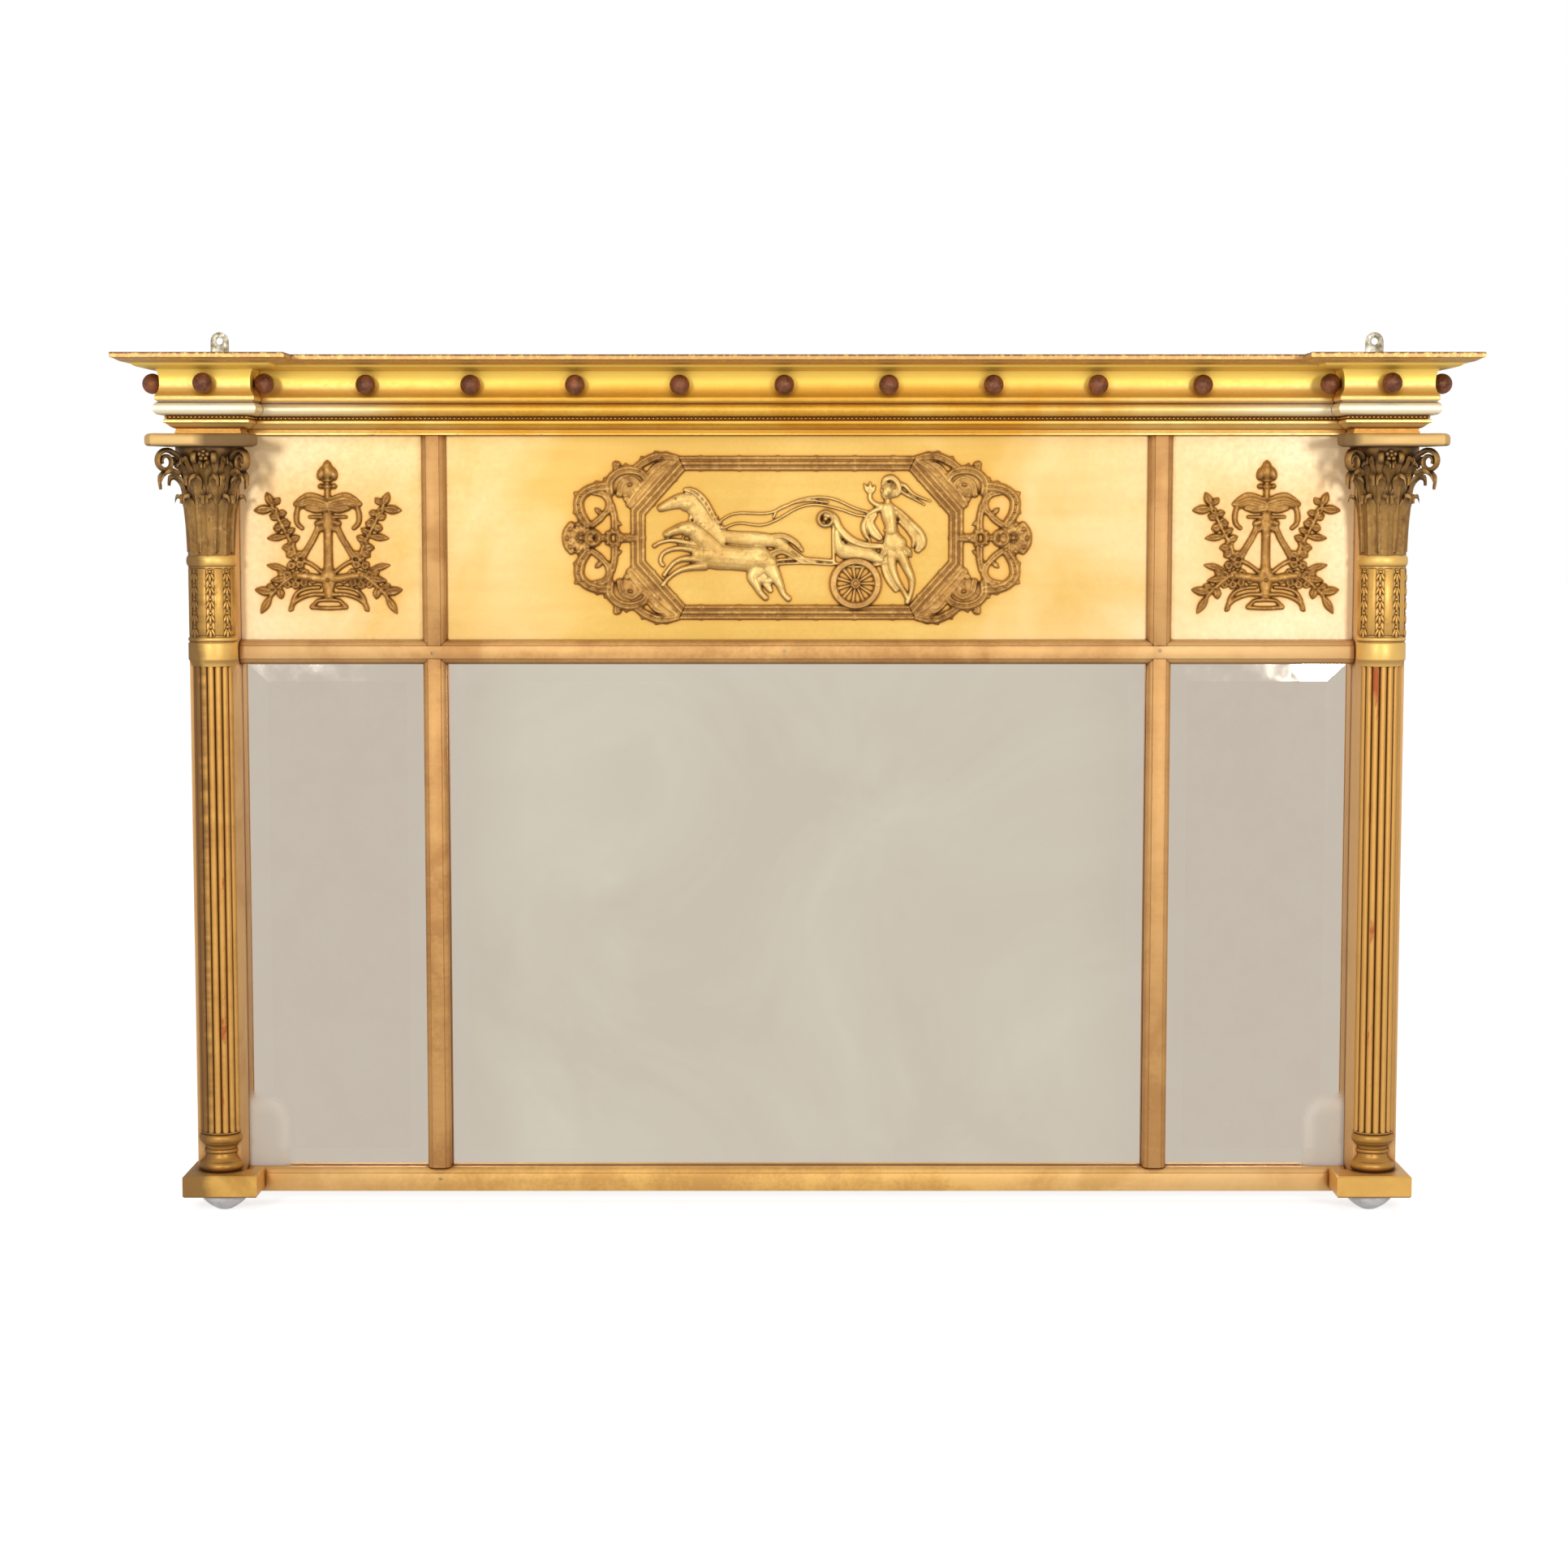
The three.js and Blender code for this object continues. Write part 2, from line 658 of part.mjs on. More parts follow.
// ---- columns ----
function baseGeometry() {
  const lowerTorus = baseHeight * 0.22;
  const waistTop = baseHeight * 0.63;
  const upperTorus = baseHeight - waistTop - 4;
  const profile = [[0, 0], [baseLowerRadius - 2, 0]];
  const roll = (bottom, height, radius, bulge) => {
    for (let turn = -60; turn <= 60; turn += 60) {
      const angle = THREE.MathUtils.degToRad(turn);
      profile.push([
        radius - bulge * (1 - Math.cos(angle)) * 1.6,
        bottom + (height / 2) * (1 + Math.sin(angle) / Math.sin(Math.PI / 3)),
      ]);
    }
  };
  roll(0.2, lowerTorus - 0.2, baseLowerRadius, 3);
  profile.push([baseWaistRadius + 1.5, lowerTorus + 0.5], [baseWaistRadius, lowerTorus + 3]);
  roll(baseHeight * 0.4, 4.5, baseWaistRadius + 2, 2);
  profile.push([baseWaistRadius, baseHeight * 0.54], [baseWaistRadius + 2.5, waistTop - 0.5]);
  roll(waistTop, upperTorus, baseUpperRadius, 3.5);
  profile.push([shaftRadius + 1.5, baseHeight - 3.5], [shaftRadius + 1.5, baseHeight], [0, baseHeight]);
  return turned(profile);
}

function shaftGeometry() {
  const half = Math.PI / reedCount;
  const reedCentre = shaftRadius / (1 + Math.sin(half));
  const reedRadius = shaftRadius - reedCentre;
  const shape = new THREE.Shape();
  for (let i = 0; i < reedCount; i += 1) {
    const angle = 2 * half * i;
    shape.absarc(
      reedCentre * Math.cos(angle), reedCentre * Math.sin(angle), reedRadius,
      angle - Math.PI / 2 - half, angle + Math.PI / 2 + half, false,
    );
  }
  return new THREE.ExtrudeGeometry(shape, { depth: shaftHeight, bevelEnabled: false, curveSegments: 4 });
}

function drumGeometry() {
  const ringHeight = drumHeight * 0.26;
  const neck = drumHeight * 0.88;
  return turned([
    [0, 0], [shaftRadius + 0.8, 0], [shaftRadius + 2, 3], [drumRingRadius - 1, 7],
    [drumRingRadius, 12], [drumRingRadius - 0.8, 26], [drumRadius - 0.5, 27],
    [drumRadius + 1.6, 28], [drumRadius + 1.6, ringHeight - 1], [drumRadius, ringHeight],
    [drumRadius, neck], [drumRadius + 1.8, neck + 1.5], [drumRadius + 2, neck + 5],
    [drumRadius - 1, neck + 7], [drumRadius + 1.5, neck + 9], [drumRadius + 1.5, neck + 13],
    [bellFootRadius + 1, drumHeight], [0, drumHeight],
  ]);
}

// A capital leaf that lies on the bell, then curls out at the tip.
const leafSection = [[-1, -0.3], [0, 1], [1, -0.3], [0, -0.7]];

function capitalLeaf({ angle, bottom, top, halfWidth, foot, reach, curl, steps = 4 }) {
  const route = new THREE.CatmullRomCurve3([
    new THREE.Vector3(foot, 0.8 * halfWidth, bottom),
    new THREE.Vector3(foot + 1.5, halfWidth, THREE.MathUtils.lerp(bottom, top, 0.45)),
    new THREE.Vector3(foot + 0.3 * reach, 0.95 * halfWidth, THREE.MathUtils.lerp(bottom, top, 0.85)),
    new THREE.Vector3(foot + 0.75 * reach, 0.7 * halfWidth, top),
    new THREE.Vector3(foot + reach, 0.3 * halfWidth, top - curl),
  ]);
  const turn = THREE.MathUtils.degToRad(angle);
  const radial = new THREE.Vector3(Math.sin(turn), -Math.cos(turn), 0);
  const across = new THREE.Vector3(Math.cos(turn), Math.sin(turn), 0);
  const frames = [];
  for (let i = 0; i <= steps; i += 1) {
    const point = route.getPoint(i / steps);
    const along = route.getTangent(i / steps).setY(0).normalize();
    const normal = radial.clone().multiplyScalar(along.z).add(new THREE.Vector3(0, 0, -along.x));
    frames.push({
      at: radial.clone().multiplyScalar(point.x).setZ(point.z),
      side: across.clone().multiplyScalar(point.y),
      out: normal.multiplyScalar(leafRelief),
    });
  }
  return sweep(frames, leafSection);
}

// A corner volute: a ring with an open eye on a stalk that rises from the bell.
function volute({ angle, distance, z, radius, tube, stalkFoot }) {
  const turn = THREE.MathUtils.degToRad(angle);
  const radial = new THREE.Vector3(Math.sin(turn), -Math.cos(turn), 0);
  const ring = new THREE.TorusGeometry(radius, tube, 4, 8)
    .rotateX(Math.PI / 2)
    .rotateZ(turn + Math.PI / 2)
    .translate(radial.x * distance, radial.y * distance, z);
  const stalk = capitalLeaf({
    angle, bottom: stalkFoot, top: z + radius, halfWidth: tube, foot: bellFootRadius + 4,
    reach: distance - bellFootRadius - 4 - radius * 0.2, curl: 0, steps: 2,
  });
  return [ring, stalk];
}

function capitalGeometry() {
  const bell = turned([
    [0, 0], [bellFootRadius, 0], [bellFootRadius + 2.5, capitalHeight * 0.55],
    [bellFootRadius + 7, capitalHeight * 0.82], [bellLipRadius, capitalHeight * 0.96],
    [bellLipRadius, capitalHeight], [0, capitalHeight],
  ], 16);
  const pieces = [bell];
  for (const angle of [-82, -41, 0, 41, 82]) {
    pieces.push(capitalLeaf({
      angle,
      bottom: 0.5,
      top: capitalHeight * 0.62,
      halfWidth: bellFootRadius * 0.35,
      foot: bellFootRadius,
      reach: lowerLeafReach,
      curl: lowerLeafReach * 0.57,
    }));
  }
  for (const angle of [-62, -21, 21, 62]) {
    pieces.push(capitalLeaf({
      angle,
      bottom: capitalHeight * 0.46,
      top: capitalHeight * 0.88,
      halfWidth: bellFootRadius * 0.34,
      foot: bellFootRadius + 2,
      reach: upperLeafReach,
      curl: upperLeafReach * 0.45,
    }));
  }
  const outerReach = abacusReach - voluteRadius + voluteTube * 0.67;
  for (const angle of [-45, 45]) {
    pieces.push(...volute({
      angle,
      distance: outerReach,
      z: capitalHeight - voluteRadius - voluteTube - fitGap,
      radius: voluteRadius,
      tube: voluteTube,
      stalkFoot: capitalHeight * 0.69,
    }));
  }
  for (const angle of [-13, 13]) {
    pieces.push(...volute({
      angle,
      distance: bellLipRadius + 2,
      z: capitalHeight - voluteRadius * 0.9,
      radius: voluteRadius * 0.57,
      tube: voluteTube * 0.67,
      stalkFoot: capitalHeight * 0.7,
    }));
  }
  const above = block(-2 * abacusReach, 2 * abacusReach, -2 * abacusReach, 2 * abacusReach,
    capitalHeight, 2 * capitalHeight);
  return geometryOf(splitTurning(geometryOf(joined(pieces))).subtract(solidOf(above)));
}

// Half of the four-horned abacus, hollowed on every side.
function abacusGeometry() {
  const tip = abacusReach;
  const inner = abacusReach - abacusHornCut;
  const waist = abacusReach - 2 * abacusHollow;
  const shape = new THREE.Shape();
  shape.moveTo(-inner, -tip);
  shape.quadraticCurveTo(0, -waist, inner, -tip);
  shape.lineTo(tip, -inner);
  shape.quadraticCurveTo(waist, 0, tip, inner);
  shape.lineTo(-tip, inner);
  shape.quadraticCurveTo(-waist, 0, -tip, -inner);
  shape.closePath();
  const geometry = new THREE.ExtrudeGeometry(shape, {
    depth: abacusThickness - 2 * abacusEdge,
    bevelThickness: abacusEdge,
    bevelSize: abacusEdge,
    bevelOffset: -abacusEdge,
    bevelSegments: 1,
    curveSegments: 6,
  });
  return geometryOf(splitTurning(geometry.translate(0, 0, abacusEdge)));
}

function plinthGeometry(side) {
  const front = columnAxisDepth + plinthHalfWidth;
  const plan = new THREE.Shape();
  plan.moveTo(-plinthHalfWidth, -front);
  plan.lineTo(plinthHalfWidth, -front);
  plan.lineTo(plinthHalfWidth, 0);
  plan.lineTo(-plinthHalfWidth, 0);
  const solid = new THREE.ExtrudeGeometry(plan, {
    depth: plinthHeight - 2 * plinthEdge,
    bevelThickness: plinthEdge,
    bevelSize: plinthEdge,
    bevelOffset: -plinthEdge,
    bevelSegments: 1,
  }).translate(side * columnX, 0, plinthBottom + plinthEdge);
  const stileFoot = sideBlock(side, stileInner, stileOuter, stileDepth, railBottom - 1, plinthTop + 1);
  const railEnd = sideBlock(side, 0, stileInner, railDepth, railBottom - 1, plinthTop + 1);
  return cutBy(solid, [stileFoot, railEnd]);
}

function padGeometry() {
  const profile = [[0, 0], [padFlatRadius, 0]];
  for (const turn of [30, 60, 90]) {
    const angle = THREE.MathUtils.degToRad(turn);
    profile.push([
      padFlatRadius + (padRadius - padFlatRadius) * Math.sin(angle),
      (padHeight - 3) * (1 - Math.cos(angle)),
    ]);
  }
  profile.push([padRadius, padHeight], [0, padHeight]);
  return turned(profile);
}

const base = geometryOf(splitTurning(baseGeometry()));
const shaft = geometryOf(splitTurning(shaftGeometry()));
const drum = geometryOf(splitTurning(drumGeometry()));
const capital = capitalGeometry();
const abacus = abacusGeometry();
const pad = padGeometry();

for (const [label, side] of sides) {
  const column = new THREE.Group();
  column.position.set(side * columnX, -columnAxisDepth, 0);
  mirror.add(column);
  const stack = (name, geometry, material, z) => place(
    `${name}_${label}`, geometry, material, [0, 0, z], [0, 0, 0], column,
  );
  stack('column_base', base, brightGilt, plinthTop);
  stack('column_shaft', shaft, wornGilt, shaftBottom);
  stack('column_drum', drum, brightGilt, drumBottom);
  stack('capital', capital, darkGilt, capitalBottom);
  stack('abacus', abacus, wornGilt, abacusBottom);
  place(`plinth_${label}`, plinthGeometry(side), brightGilt);
  place(`foot_pad_${label}`, pad, padPlastic,
    [side * columnX, -padDepth, plinthBottom - padHeight]);
}

// ---- octagonal border ----
const borderCorners = [
  [borderHalfWidth - borderCutWidth, borderHalfHeight],
  [borderHalfWidth, borderHalfHeight - borderCutHeight],
  [borderHalfWidth, borderCutHeight - borderHalfHeight],
  [borderHalfWidth - borderCutWidth, -borderHalfHeight],
  [borderCutWidth - borderHalfWidth, -borderHalfHeight],
  [-borderHalfWidth, borderCutHeight - borderHalfHeight],
  [-borderHalfWidth, borderHalfHeight - borderCutHeight],
  [borderCutWidth - borderHalfWidth, borderHalfHeight],
].map(([x, z]) => new THREE.Vector2(x, z));

// The mitre at a corner: from the outer corner to the inner one.
function mitreAt(i, grow) {
  const count = borderCorners.length;
  const here = borderCorners[i % count];
  const before = here.clone().sub(borderCorners[(i + count - 1) % count]).normalize();
  const after = borderCorners[(i + 1) % count].clone().sub(here).normalize();
  const inward = new THREE.Vector2(before.y + after.y, -before.x - after.x).normalize();
  const stretch = 1 / Math.cos(Math.acos(before.dot(after)) / 2);
  return [
    here.clone().addScaledVector(inward, -grow * stretch),
    here.clone().addScaledVector(inward, (borderBar + grow) * stretch),
  ];
}

const reeded = [
  [-1, 0], [-1, 0.5], [-0.72, 1], [-0.4, 0.5], [-0.2, 0.9], [0.2, 0.9], [0.4, 0.5], [0.72, 1], [1, 0.5], [1, 0],
];
const boxed = [[-1, -1], [-1, 2], [1, 2], [1, -1]];

// A stretch of border through consecutive corners, in mitred reeded strips.
function borderStrip(corners, section, grow = 0) {
  const frames = corners.map((i) => {
    const [outer, inner] = mitreAt(i, grow);
    const middle = outer.clone().add(inner).multiplyScalar(0.5);
    const half = inner.clone().sub(outer).multiplyScalar(0.5);
    return {
      at: new THREE.Vector3(middle.x, 0, middle.y),
      side: new THREE.Vector3(half.x, 0, half.y),
      out: new THREE.Vector3(0, -borderHeight, 0),
    };
  });
  return sweep(frames, section);
}

const friezeGround = [0, -panelFront, friezeMiddle];
const wheelDisc = (radius) => turned([[0, -1], [radius, -1], [radius, 2 * wheelThickness],
  [0, 2 * wheelThickness]], 24).rotateX(Math.PI / 2).translate(wheelX, 0, wheelZ);

const straightRuns = [['top', [7, 8]], ['bottom', [3, 4]]];
for (const [label, corners] of straightRuns) {
  const strip = cutBy(borderStrip(corners, reeded), [wheelDisc(wheelRadius + fitGap)]);
  place(`border_${label}`, strip, wornGilt, friezeGround);
}

// ---- scroll sprays, each with its end of the border ----

// Scrolls at mid height are measured from the end of the border, as [out, up, half width].
const sideScrolls = [
  [[-5, 12, 4.5], [16, 16, 5.4], [39, 9, 5.4]],
  [[-5, -12.5, 4.5], [16, -16, 5.4], [39, -9, 5.4]],
];
const sideRings = [[37, 36, 11, 4], [37, -40, 12, 4.5], [52, 0.5, 12, 8]];

// Corner scrolls are measured from where the long edge would meet the end, upper then lower.
const upperScrolls = [
  [[-7, -56, 5.4], [11, -34.5, 6.3], [34.5, -29.5, 5.4], [53, -40, 5.4], [56, -67.5, 4.5]],
  [[-21, -42, 7.1], [-7, -27.5, 8], [7.5, -19, 6.3], [11, -10, 3.6]],
  [[-30, -29.5, 7.1], [-21, -17, 8.9], [-7, -13.5, 7.1], [4, -24, 4.5]],
  [[-48, -5.5, 4.5], [-38, 0.5, 7.1], [-28, -1, 7.1], [-15.5, -13.5, 5.4]],
];
const lowerScrolls = [
  [[-7, -55.5, 5.4], [11, -34.5, 6.3], [34.5, -27.5, 5.4], [52, -38, 5.4], [56, -67.5, 4.5]],
  [[-30, -27.5, 7.1], [-15.5, -16.5, 8.9], [-1.5, -15, 7.1], [7.5, -25.5, 4.5]],
  [[-19.5, -39.5, 7.1], [-5, -31, 8], [7.5, -20, 6.3], [11, -9.5, 3.6]],
  [[-48, -5.5, 4.5], [-38, 0.5, 6.3], [-28, -1.5, 7.1], [-15.5, -13, 5.4]],
];
const shifted = (points, up, turn = 1) => points.map(([x, z, halfWidth]) => (
  [borderHalfWidth + x, turn * (up + z), halfWidth]
));
const sprayScrolls = [
  ...sideScrolls.map((points) => shifted(points, 0)),
  ...upperScrolls.map((points) => shifted(points, borderHalfHeight)),
  ...lowerScrolls.map((points) => shifted(points, borderHalfHeight, -1)),
];

for (const [label, side] of sides) {
  const turnSide = (points) => (side < 0 ? mirrorX(points) : points);
  const corners = side < 0 ? [4, 5, 6, 7] : [0, 1, 2, 3];
  const ornament = [
    ...sprayScrolls.map((points) => stroke(turnSide(points), sprayHeight)),
    ...sideRings.map(([x, z, radius, halfWidth]) => (
      raisedRing(side * (borderHalfWidth + x), z, radius, halfWidth, sprayHeight)
    )),
  ];
  const clear = straightRuns.map(([, run]) => solidOf(borderStrip(run, boxed, fitGap)));
  const scrolls = clear.reduce((rest, cutter) => rest.subtract(cutter), joined(ornament));
  const spray = scrolls.add(solidOf(borderStrip(corners, reeded)));
  place(`spray_${label}`, geometryOf(spray), wornGilt, friezeGround);
}

// ---- chariot relief ----
const nearHorse = [
  [[-110.5, -16, 8], [-86.5, -18, 15.2], [-62.5, -19.5, 13.4], [-41, -24, 17], [-27, -27.5, 10.7]],
  [[-82, -12.5, 11.6], [-103.5, 0, 11.6], [-121.5, 1.5, 8.9], [-139.5, -6.5, 6.3], [-157, -11, 3.6]],
  [[-102, -28.5, 6.3], [-119.5, -32, 4.5], [-132, -39, 3.6], [-144, -47, 2.7]],
  [[-103.5, -27, 5.4], [-125, -21.5, 4.5], [-143, -19.5, 3.1], [-150, -32, 2.7]],
  [[-34, -34, 8.9], [-43, -46, 5.4], [-41, -56, 3.6], [-35, -64, 3.1]],
  [[-25, -32, 7.1], [-17, -44.5, 4.5], [-14.5, -55, 3.6], [-8, -66.5, 3.1]],
  [[-25, -21.5, 5.4], [-9, -21.5, 4.5], [7, -30.5, 2.7]],
];
const farHorse = [
  [[-80.5, -2, 8.9], [-97.5, 18.5, 8.9], [-110.5, 37, 8], [-125, 47.5, 7.1]],
  [[-118, 46, 8], [-135.5, 40.5, 7.1], [-152.5, 34.5, 3.6]],
  [[-85.5, 8, 6.3], [-60, 2.5, 8], [-33, 1.5, 8.9], [-12.5, -2, 8.9], [3.5, -14.5, 5.4]],
];
const harness = [
  [[-28.5, -25, 3.6], [2.5, -23, 3.1], [37.5, -25, 3.1]],
  [[-91, 14, 2.2], [-69, 26.5, 2.2], [-33, 28, 2.2], [0, 40.5, 2.2], [35.5, 43, 2.2], [78.5, 28, 2.2]],
];
const chariotBody = [
  [[32, 17.5, 7.1], [38.5, 0.5, 6.3], [40, -17, 6.3], [42, -32, 5.4]],
  [[39.5, 23, 6.3], [52, 5, 8], [69.5, -5.5, 8], [94.5, -7.5, 8]],
  [[43, -5.5, 10.7], [60.5, -12.5, 11.6], [80.5, -16, 10.7], [96.5, -23, 8]],
  [[87.5, -24, 5.4], [99, -46, 5.4], [113, -62, 3.6]],
];
const charioteer = [
  [[100, 44, 5], [100, 18.5, 12.5], [105.5, -2, 12.5], [114.5, -19.5, 8.9]],
  [[91, 58.5, 3.6], [101, 66.5, 4.5], [112.5, 59, 4.5], [115, 46, 2.7]],
  [[98, 31.5, 5.4], [80.5, 29, 4.5], [76, 44, 3.6], [79.5, 56.5, 2.7]],
  [[107, 31.5, 7.1], [123, 14, 8.9], [135.5, 0, 8], [133, -12.5, 3.6]],
  [[107, 50, 3.6], [125, 44, 2.7], [143, 38, 1.8]],
  [[107, -16, 8], [116, -35.5, 5.4], [119, -53.5, 4.5], [118, -66, 3.6]],
];
const relief = [...nearHorse, ...farHorse, ...harness, ...chariotBody, ...charioteer]
  .map((points) => stroke(points, reliefHeight));
relief.push(raisedRing(31.3, 22, 8, 4, reliefHeight));
relief.push(boss(headX, headZ, headRadius, reliefHeight, 10));
const reliefCutters = [wheelDisc(wheelRadius + fitGap)];
for (let i = 0; i < borderCorners.length; i += 1) {
  reliefCutters.push(borderStrip([i, i + 1], boxed, fitGap));
}
place('chariot_relief', cutBy(geometryOf(joined(relief)), reliefCutters), darkGilt, friezeGround);

const wheelPieces = [
  raisedRing(0, 0, wheelRadius - wheelRimWidth / 2, wheelRimWidth / 2, wheelThickness, 16),
  boss(0, 0, wheelHubRadius, wheelThickness + 1, 8),
];
for (let i = 0; i < wheelSpokeCount; i += 1) {
  const angle = (2 * Math.PI * i) / wheelSpokeCount;
  const [x, z] = [Math.cos(angle), Math.sin(angle)];
  const rim = wheelRadius - wheelRimWidth + 1;
  wheelPieces.push(stroke([[x * 3, z * 3, 1.6], [x * rim, z * rim, 1.6]], wheelThickness * 0.6, ridged, 1));
}
place('chariot_wheel', geometryOf(joined(wheelPieces)), darkGilt,
  [wheelX, -panelFront, friezeMiddle + wheelZ]);

// ---- lyre ornaments of the side panels ----
const lyreSpine = [
  [[0, 89, 2.5], [0, 75.5, 7.1], [0, 64.5, 8.9], [0, 56, 4]],
  [[0, 59.5, 6.3], [0, 47, 3.6], [0, 22, 7.1], [0, -10, 5.4], [0, -44, 8.9]],
  [[0, -40, 8], [0, -52, 12], [0, -66, 6]],
];
const lyreHalf = [
  [[0, 38, 7.1], [18, 41.5, 8], [30.5, 35.5, 6.3], [38.5, 38, 3.6]],
  [[32, 33, 3.6], [35, 20.5, 3.6], [30.5, 9, 3.6], [41, 4, 4.5]],
  [[5, 14, 4.5], [18, -6, 4.5], [28.5, -24, 5.4], [35.5, -36.5, 6.3]],
  [[0, -50.5, 10], [18, -46, 8], [32, -41.5, 7.1], [41, -47, 4.5]],
  [[0, -62, 5], [21.5, -60, 3.1], [37.5, -66.5, 3.6], [42, -80.5, 2.7]],
  [[0, -65.5, 4.5], [14.5, -68, 3.1], [21.5, -74.5, 3.1]],
];
const laurelStems = [
  [[62.5, 38, 2.7], [50, 12, 2.7], [34, -17, 3.6], [30.5, -41.5, 3.6]],
  [[30.5, -41.5, 3.6], [52, -52.5, 3.1], [68, -66, 2.7]],
];
const laurelLeaves = [
  [[59, 34], [58, 56]], [[58, 32], [82, 34.5]], [[52, 17.5], [45, 31]], [[46.5, 6], [64, 12.5]],
  [[43, -2.5], [72, -3.5]], [[33, -24], [50, -14]], [[33, -33], [73, -28.5]],
  [[42, -46], [82, -50.5]], [[55, -54], [57, -70]], [[64, -63], [79, -82]],
];
for (const [label, side] of sides) {
  const pieces = lyreSpine.map((points) => stroke(points, lyreHeight));
  for (const half of [-1, 1]) {
    const turnHalf = (points) => (half < 0 ? mirrorX(points) : points);
    pieces.push(...lyreHalf.map((points) => stroke(turnHalf(points), lyreHeight)));
    pieces.push(...laurelStems.map((points) => stroke(turnHalf(points), lyreHeight, ridged)));
    pieces.push(...laurelLeaves.map((ends) => leaf(...turnHalf(ends), laurelLeafHalfWidth, lyreHeight)));
    pieces.push(boss(half * 36, -28, 8, lyreHeight, 6));
  }
  pieces.push(stroke([[-22, -76, 2.7], [22, -76, 2.7]], lyreHeight, domed, 1));
  place(`lyre_${label}`, geometryOf(joined(pieces)), darkGilt,
    [side * sideBayX, -panelFront, friezeMiddle - 1]);
}

export default mirror;
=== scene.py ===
# Giltwood overmantel mirror: ball cornice, chariot frieze, split columns, three bevelled plates.
# Pieces are drawn in millimetres and made metres as they are finished.
import math
import bpy
import bmesh
from mathutils import Matrix, Vector


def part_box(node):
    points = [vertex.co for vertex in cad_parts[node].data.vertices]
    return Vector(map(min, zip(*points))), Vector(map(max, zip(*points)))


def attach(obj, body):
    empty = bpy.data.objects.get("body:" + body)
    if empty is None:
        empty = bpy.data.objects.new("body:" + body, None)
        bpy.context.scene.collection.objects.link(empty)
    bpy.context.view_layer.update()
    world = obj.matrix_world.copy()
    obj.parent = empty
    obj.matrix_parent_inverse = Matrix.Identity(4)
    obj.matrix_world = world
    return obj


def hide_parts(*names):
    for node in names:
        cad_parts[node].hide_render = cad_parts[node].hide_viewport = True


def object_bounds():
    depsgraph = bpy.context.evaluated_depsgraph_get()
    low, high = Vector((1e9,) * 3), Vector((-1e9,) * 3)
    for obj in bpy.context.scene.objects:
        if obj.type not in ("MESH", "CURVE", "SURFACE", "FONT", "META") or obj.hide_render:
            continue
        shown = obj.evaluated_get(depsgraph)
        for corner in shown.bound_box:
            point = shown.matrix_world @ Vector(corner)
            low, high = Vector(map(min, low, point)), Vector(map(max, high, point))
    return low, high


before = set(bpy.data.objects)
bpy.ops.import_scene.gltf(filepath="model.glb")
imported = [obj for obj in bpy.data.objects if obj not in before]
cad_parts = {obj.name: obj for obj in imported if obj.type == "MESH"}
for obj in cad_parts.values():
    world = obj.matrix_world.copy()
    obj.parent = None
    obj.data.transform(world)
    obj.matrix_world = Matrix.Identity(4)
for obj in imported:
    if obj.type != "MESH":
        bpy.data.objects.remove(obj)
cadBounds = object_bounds()
print("frame loaded")

mm = 0.001


# places taken from the frame, in millimetres
def boxOf(node):
    low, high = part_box(node)
    return low / mm, high / mm


def middleOf(node):
    low, high = boxOf(node)
    return (low + high) / 2


sides = {"left": -1, "right": 1}
columnX = middleOf("column_shaft_right").x
columnBack = boxOf("column_shaft_right")[1].y  # face of the stile, where the half columns end
columnAxis = columnBack + 4
columnLine = columnX + 4.2  # the columns stand a little further out than their stiles' middles
sideSight = 611.5  # how far out the side bays open
panelFront = boxOf("frieze_panel_centre")[0].y
friezeMiddle = middleOf("frieze_panel_centre").z
lyreLine = middleOf("frieze_panel_right").x + 7.6  # the lyres hang a little outside their panels' middles

cameraLook = {"lens": 68.88, "sensor": 36, "place": (-0.01428, -3.320, 0.73178), "tilt": -5.03}


def makeCamera():
    camera = bpy.data.cameras.new("photoCamera")
    camera.lens = cameraLook["lens"]
    camera.sensor_width = cameraLook["sensor"]
    holder = bpy.data.objects.new("photoCamera", camera)
    holder.location = cameraLook["place"]
    holder.rotation_euler = (math.radians(90 + cameraLook["tilt"]), 0, 0)
    bpy.context.collection.objects.link(holder)
    bpy.context.scene.camera = holder


makeCamera()


# small helpers for the material nodes; each finds its node tree from a socket it is given
def paint(red, green, blue):  # a colour as seen on screen, 0 to 255
    def linear(value):
        value /= 255
        return value / 12.92 if value <= 0.04045 else ((value + 0.055) / 1.055) ** 2.4
    return (linear(red), linear(green), linear(blue), 1)


def feed(node, feeds):  # values and sockets by the names of the node's inputs
    for key, value in feeds.items():
        if isinstance(value, bpy.types.NodeSocket):
            node.id_data.links.new(value, node.inputs[key])
        else:
            node.inputs[key].default_value = value


def addNode(tree, kind, feeds=None, **settings):
    node = tree.nodes.new(kind)
    for key, value in settings.items():
        setattr(node, key, value)
    feed(node, feeds or {})
    return node


def blankMaterial(name):
    material = bpy.data.materials.new(name)
    material.use_nodes = True
    tree = material.node_tree
    shader = tree.nodes["Principled BSDF"]
    place = addNode(tree, "ShaderNodeTexCoord").outputs["Object"]
    return material, tree, shader, place


def noise(place, scale, detail=4, roughness=0.55, distortion=0.0, stretch=(1, 1, 1)):
    tree = place.id_data
    if stretch != (1, 1, 1):
        place = addNode(tree, "ShaderNodeMapping", {"Vector": place, "Scale": stretch}).outputs[0]
    return addNode(tree, "ShaderNodeTexNoise", {
        "Vector": place, "Scale": scale, "Detail": detail, "Roughness": roughness,
        "Distortion": distortion,
    }).outputs["Fac"]


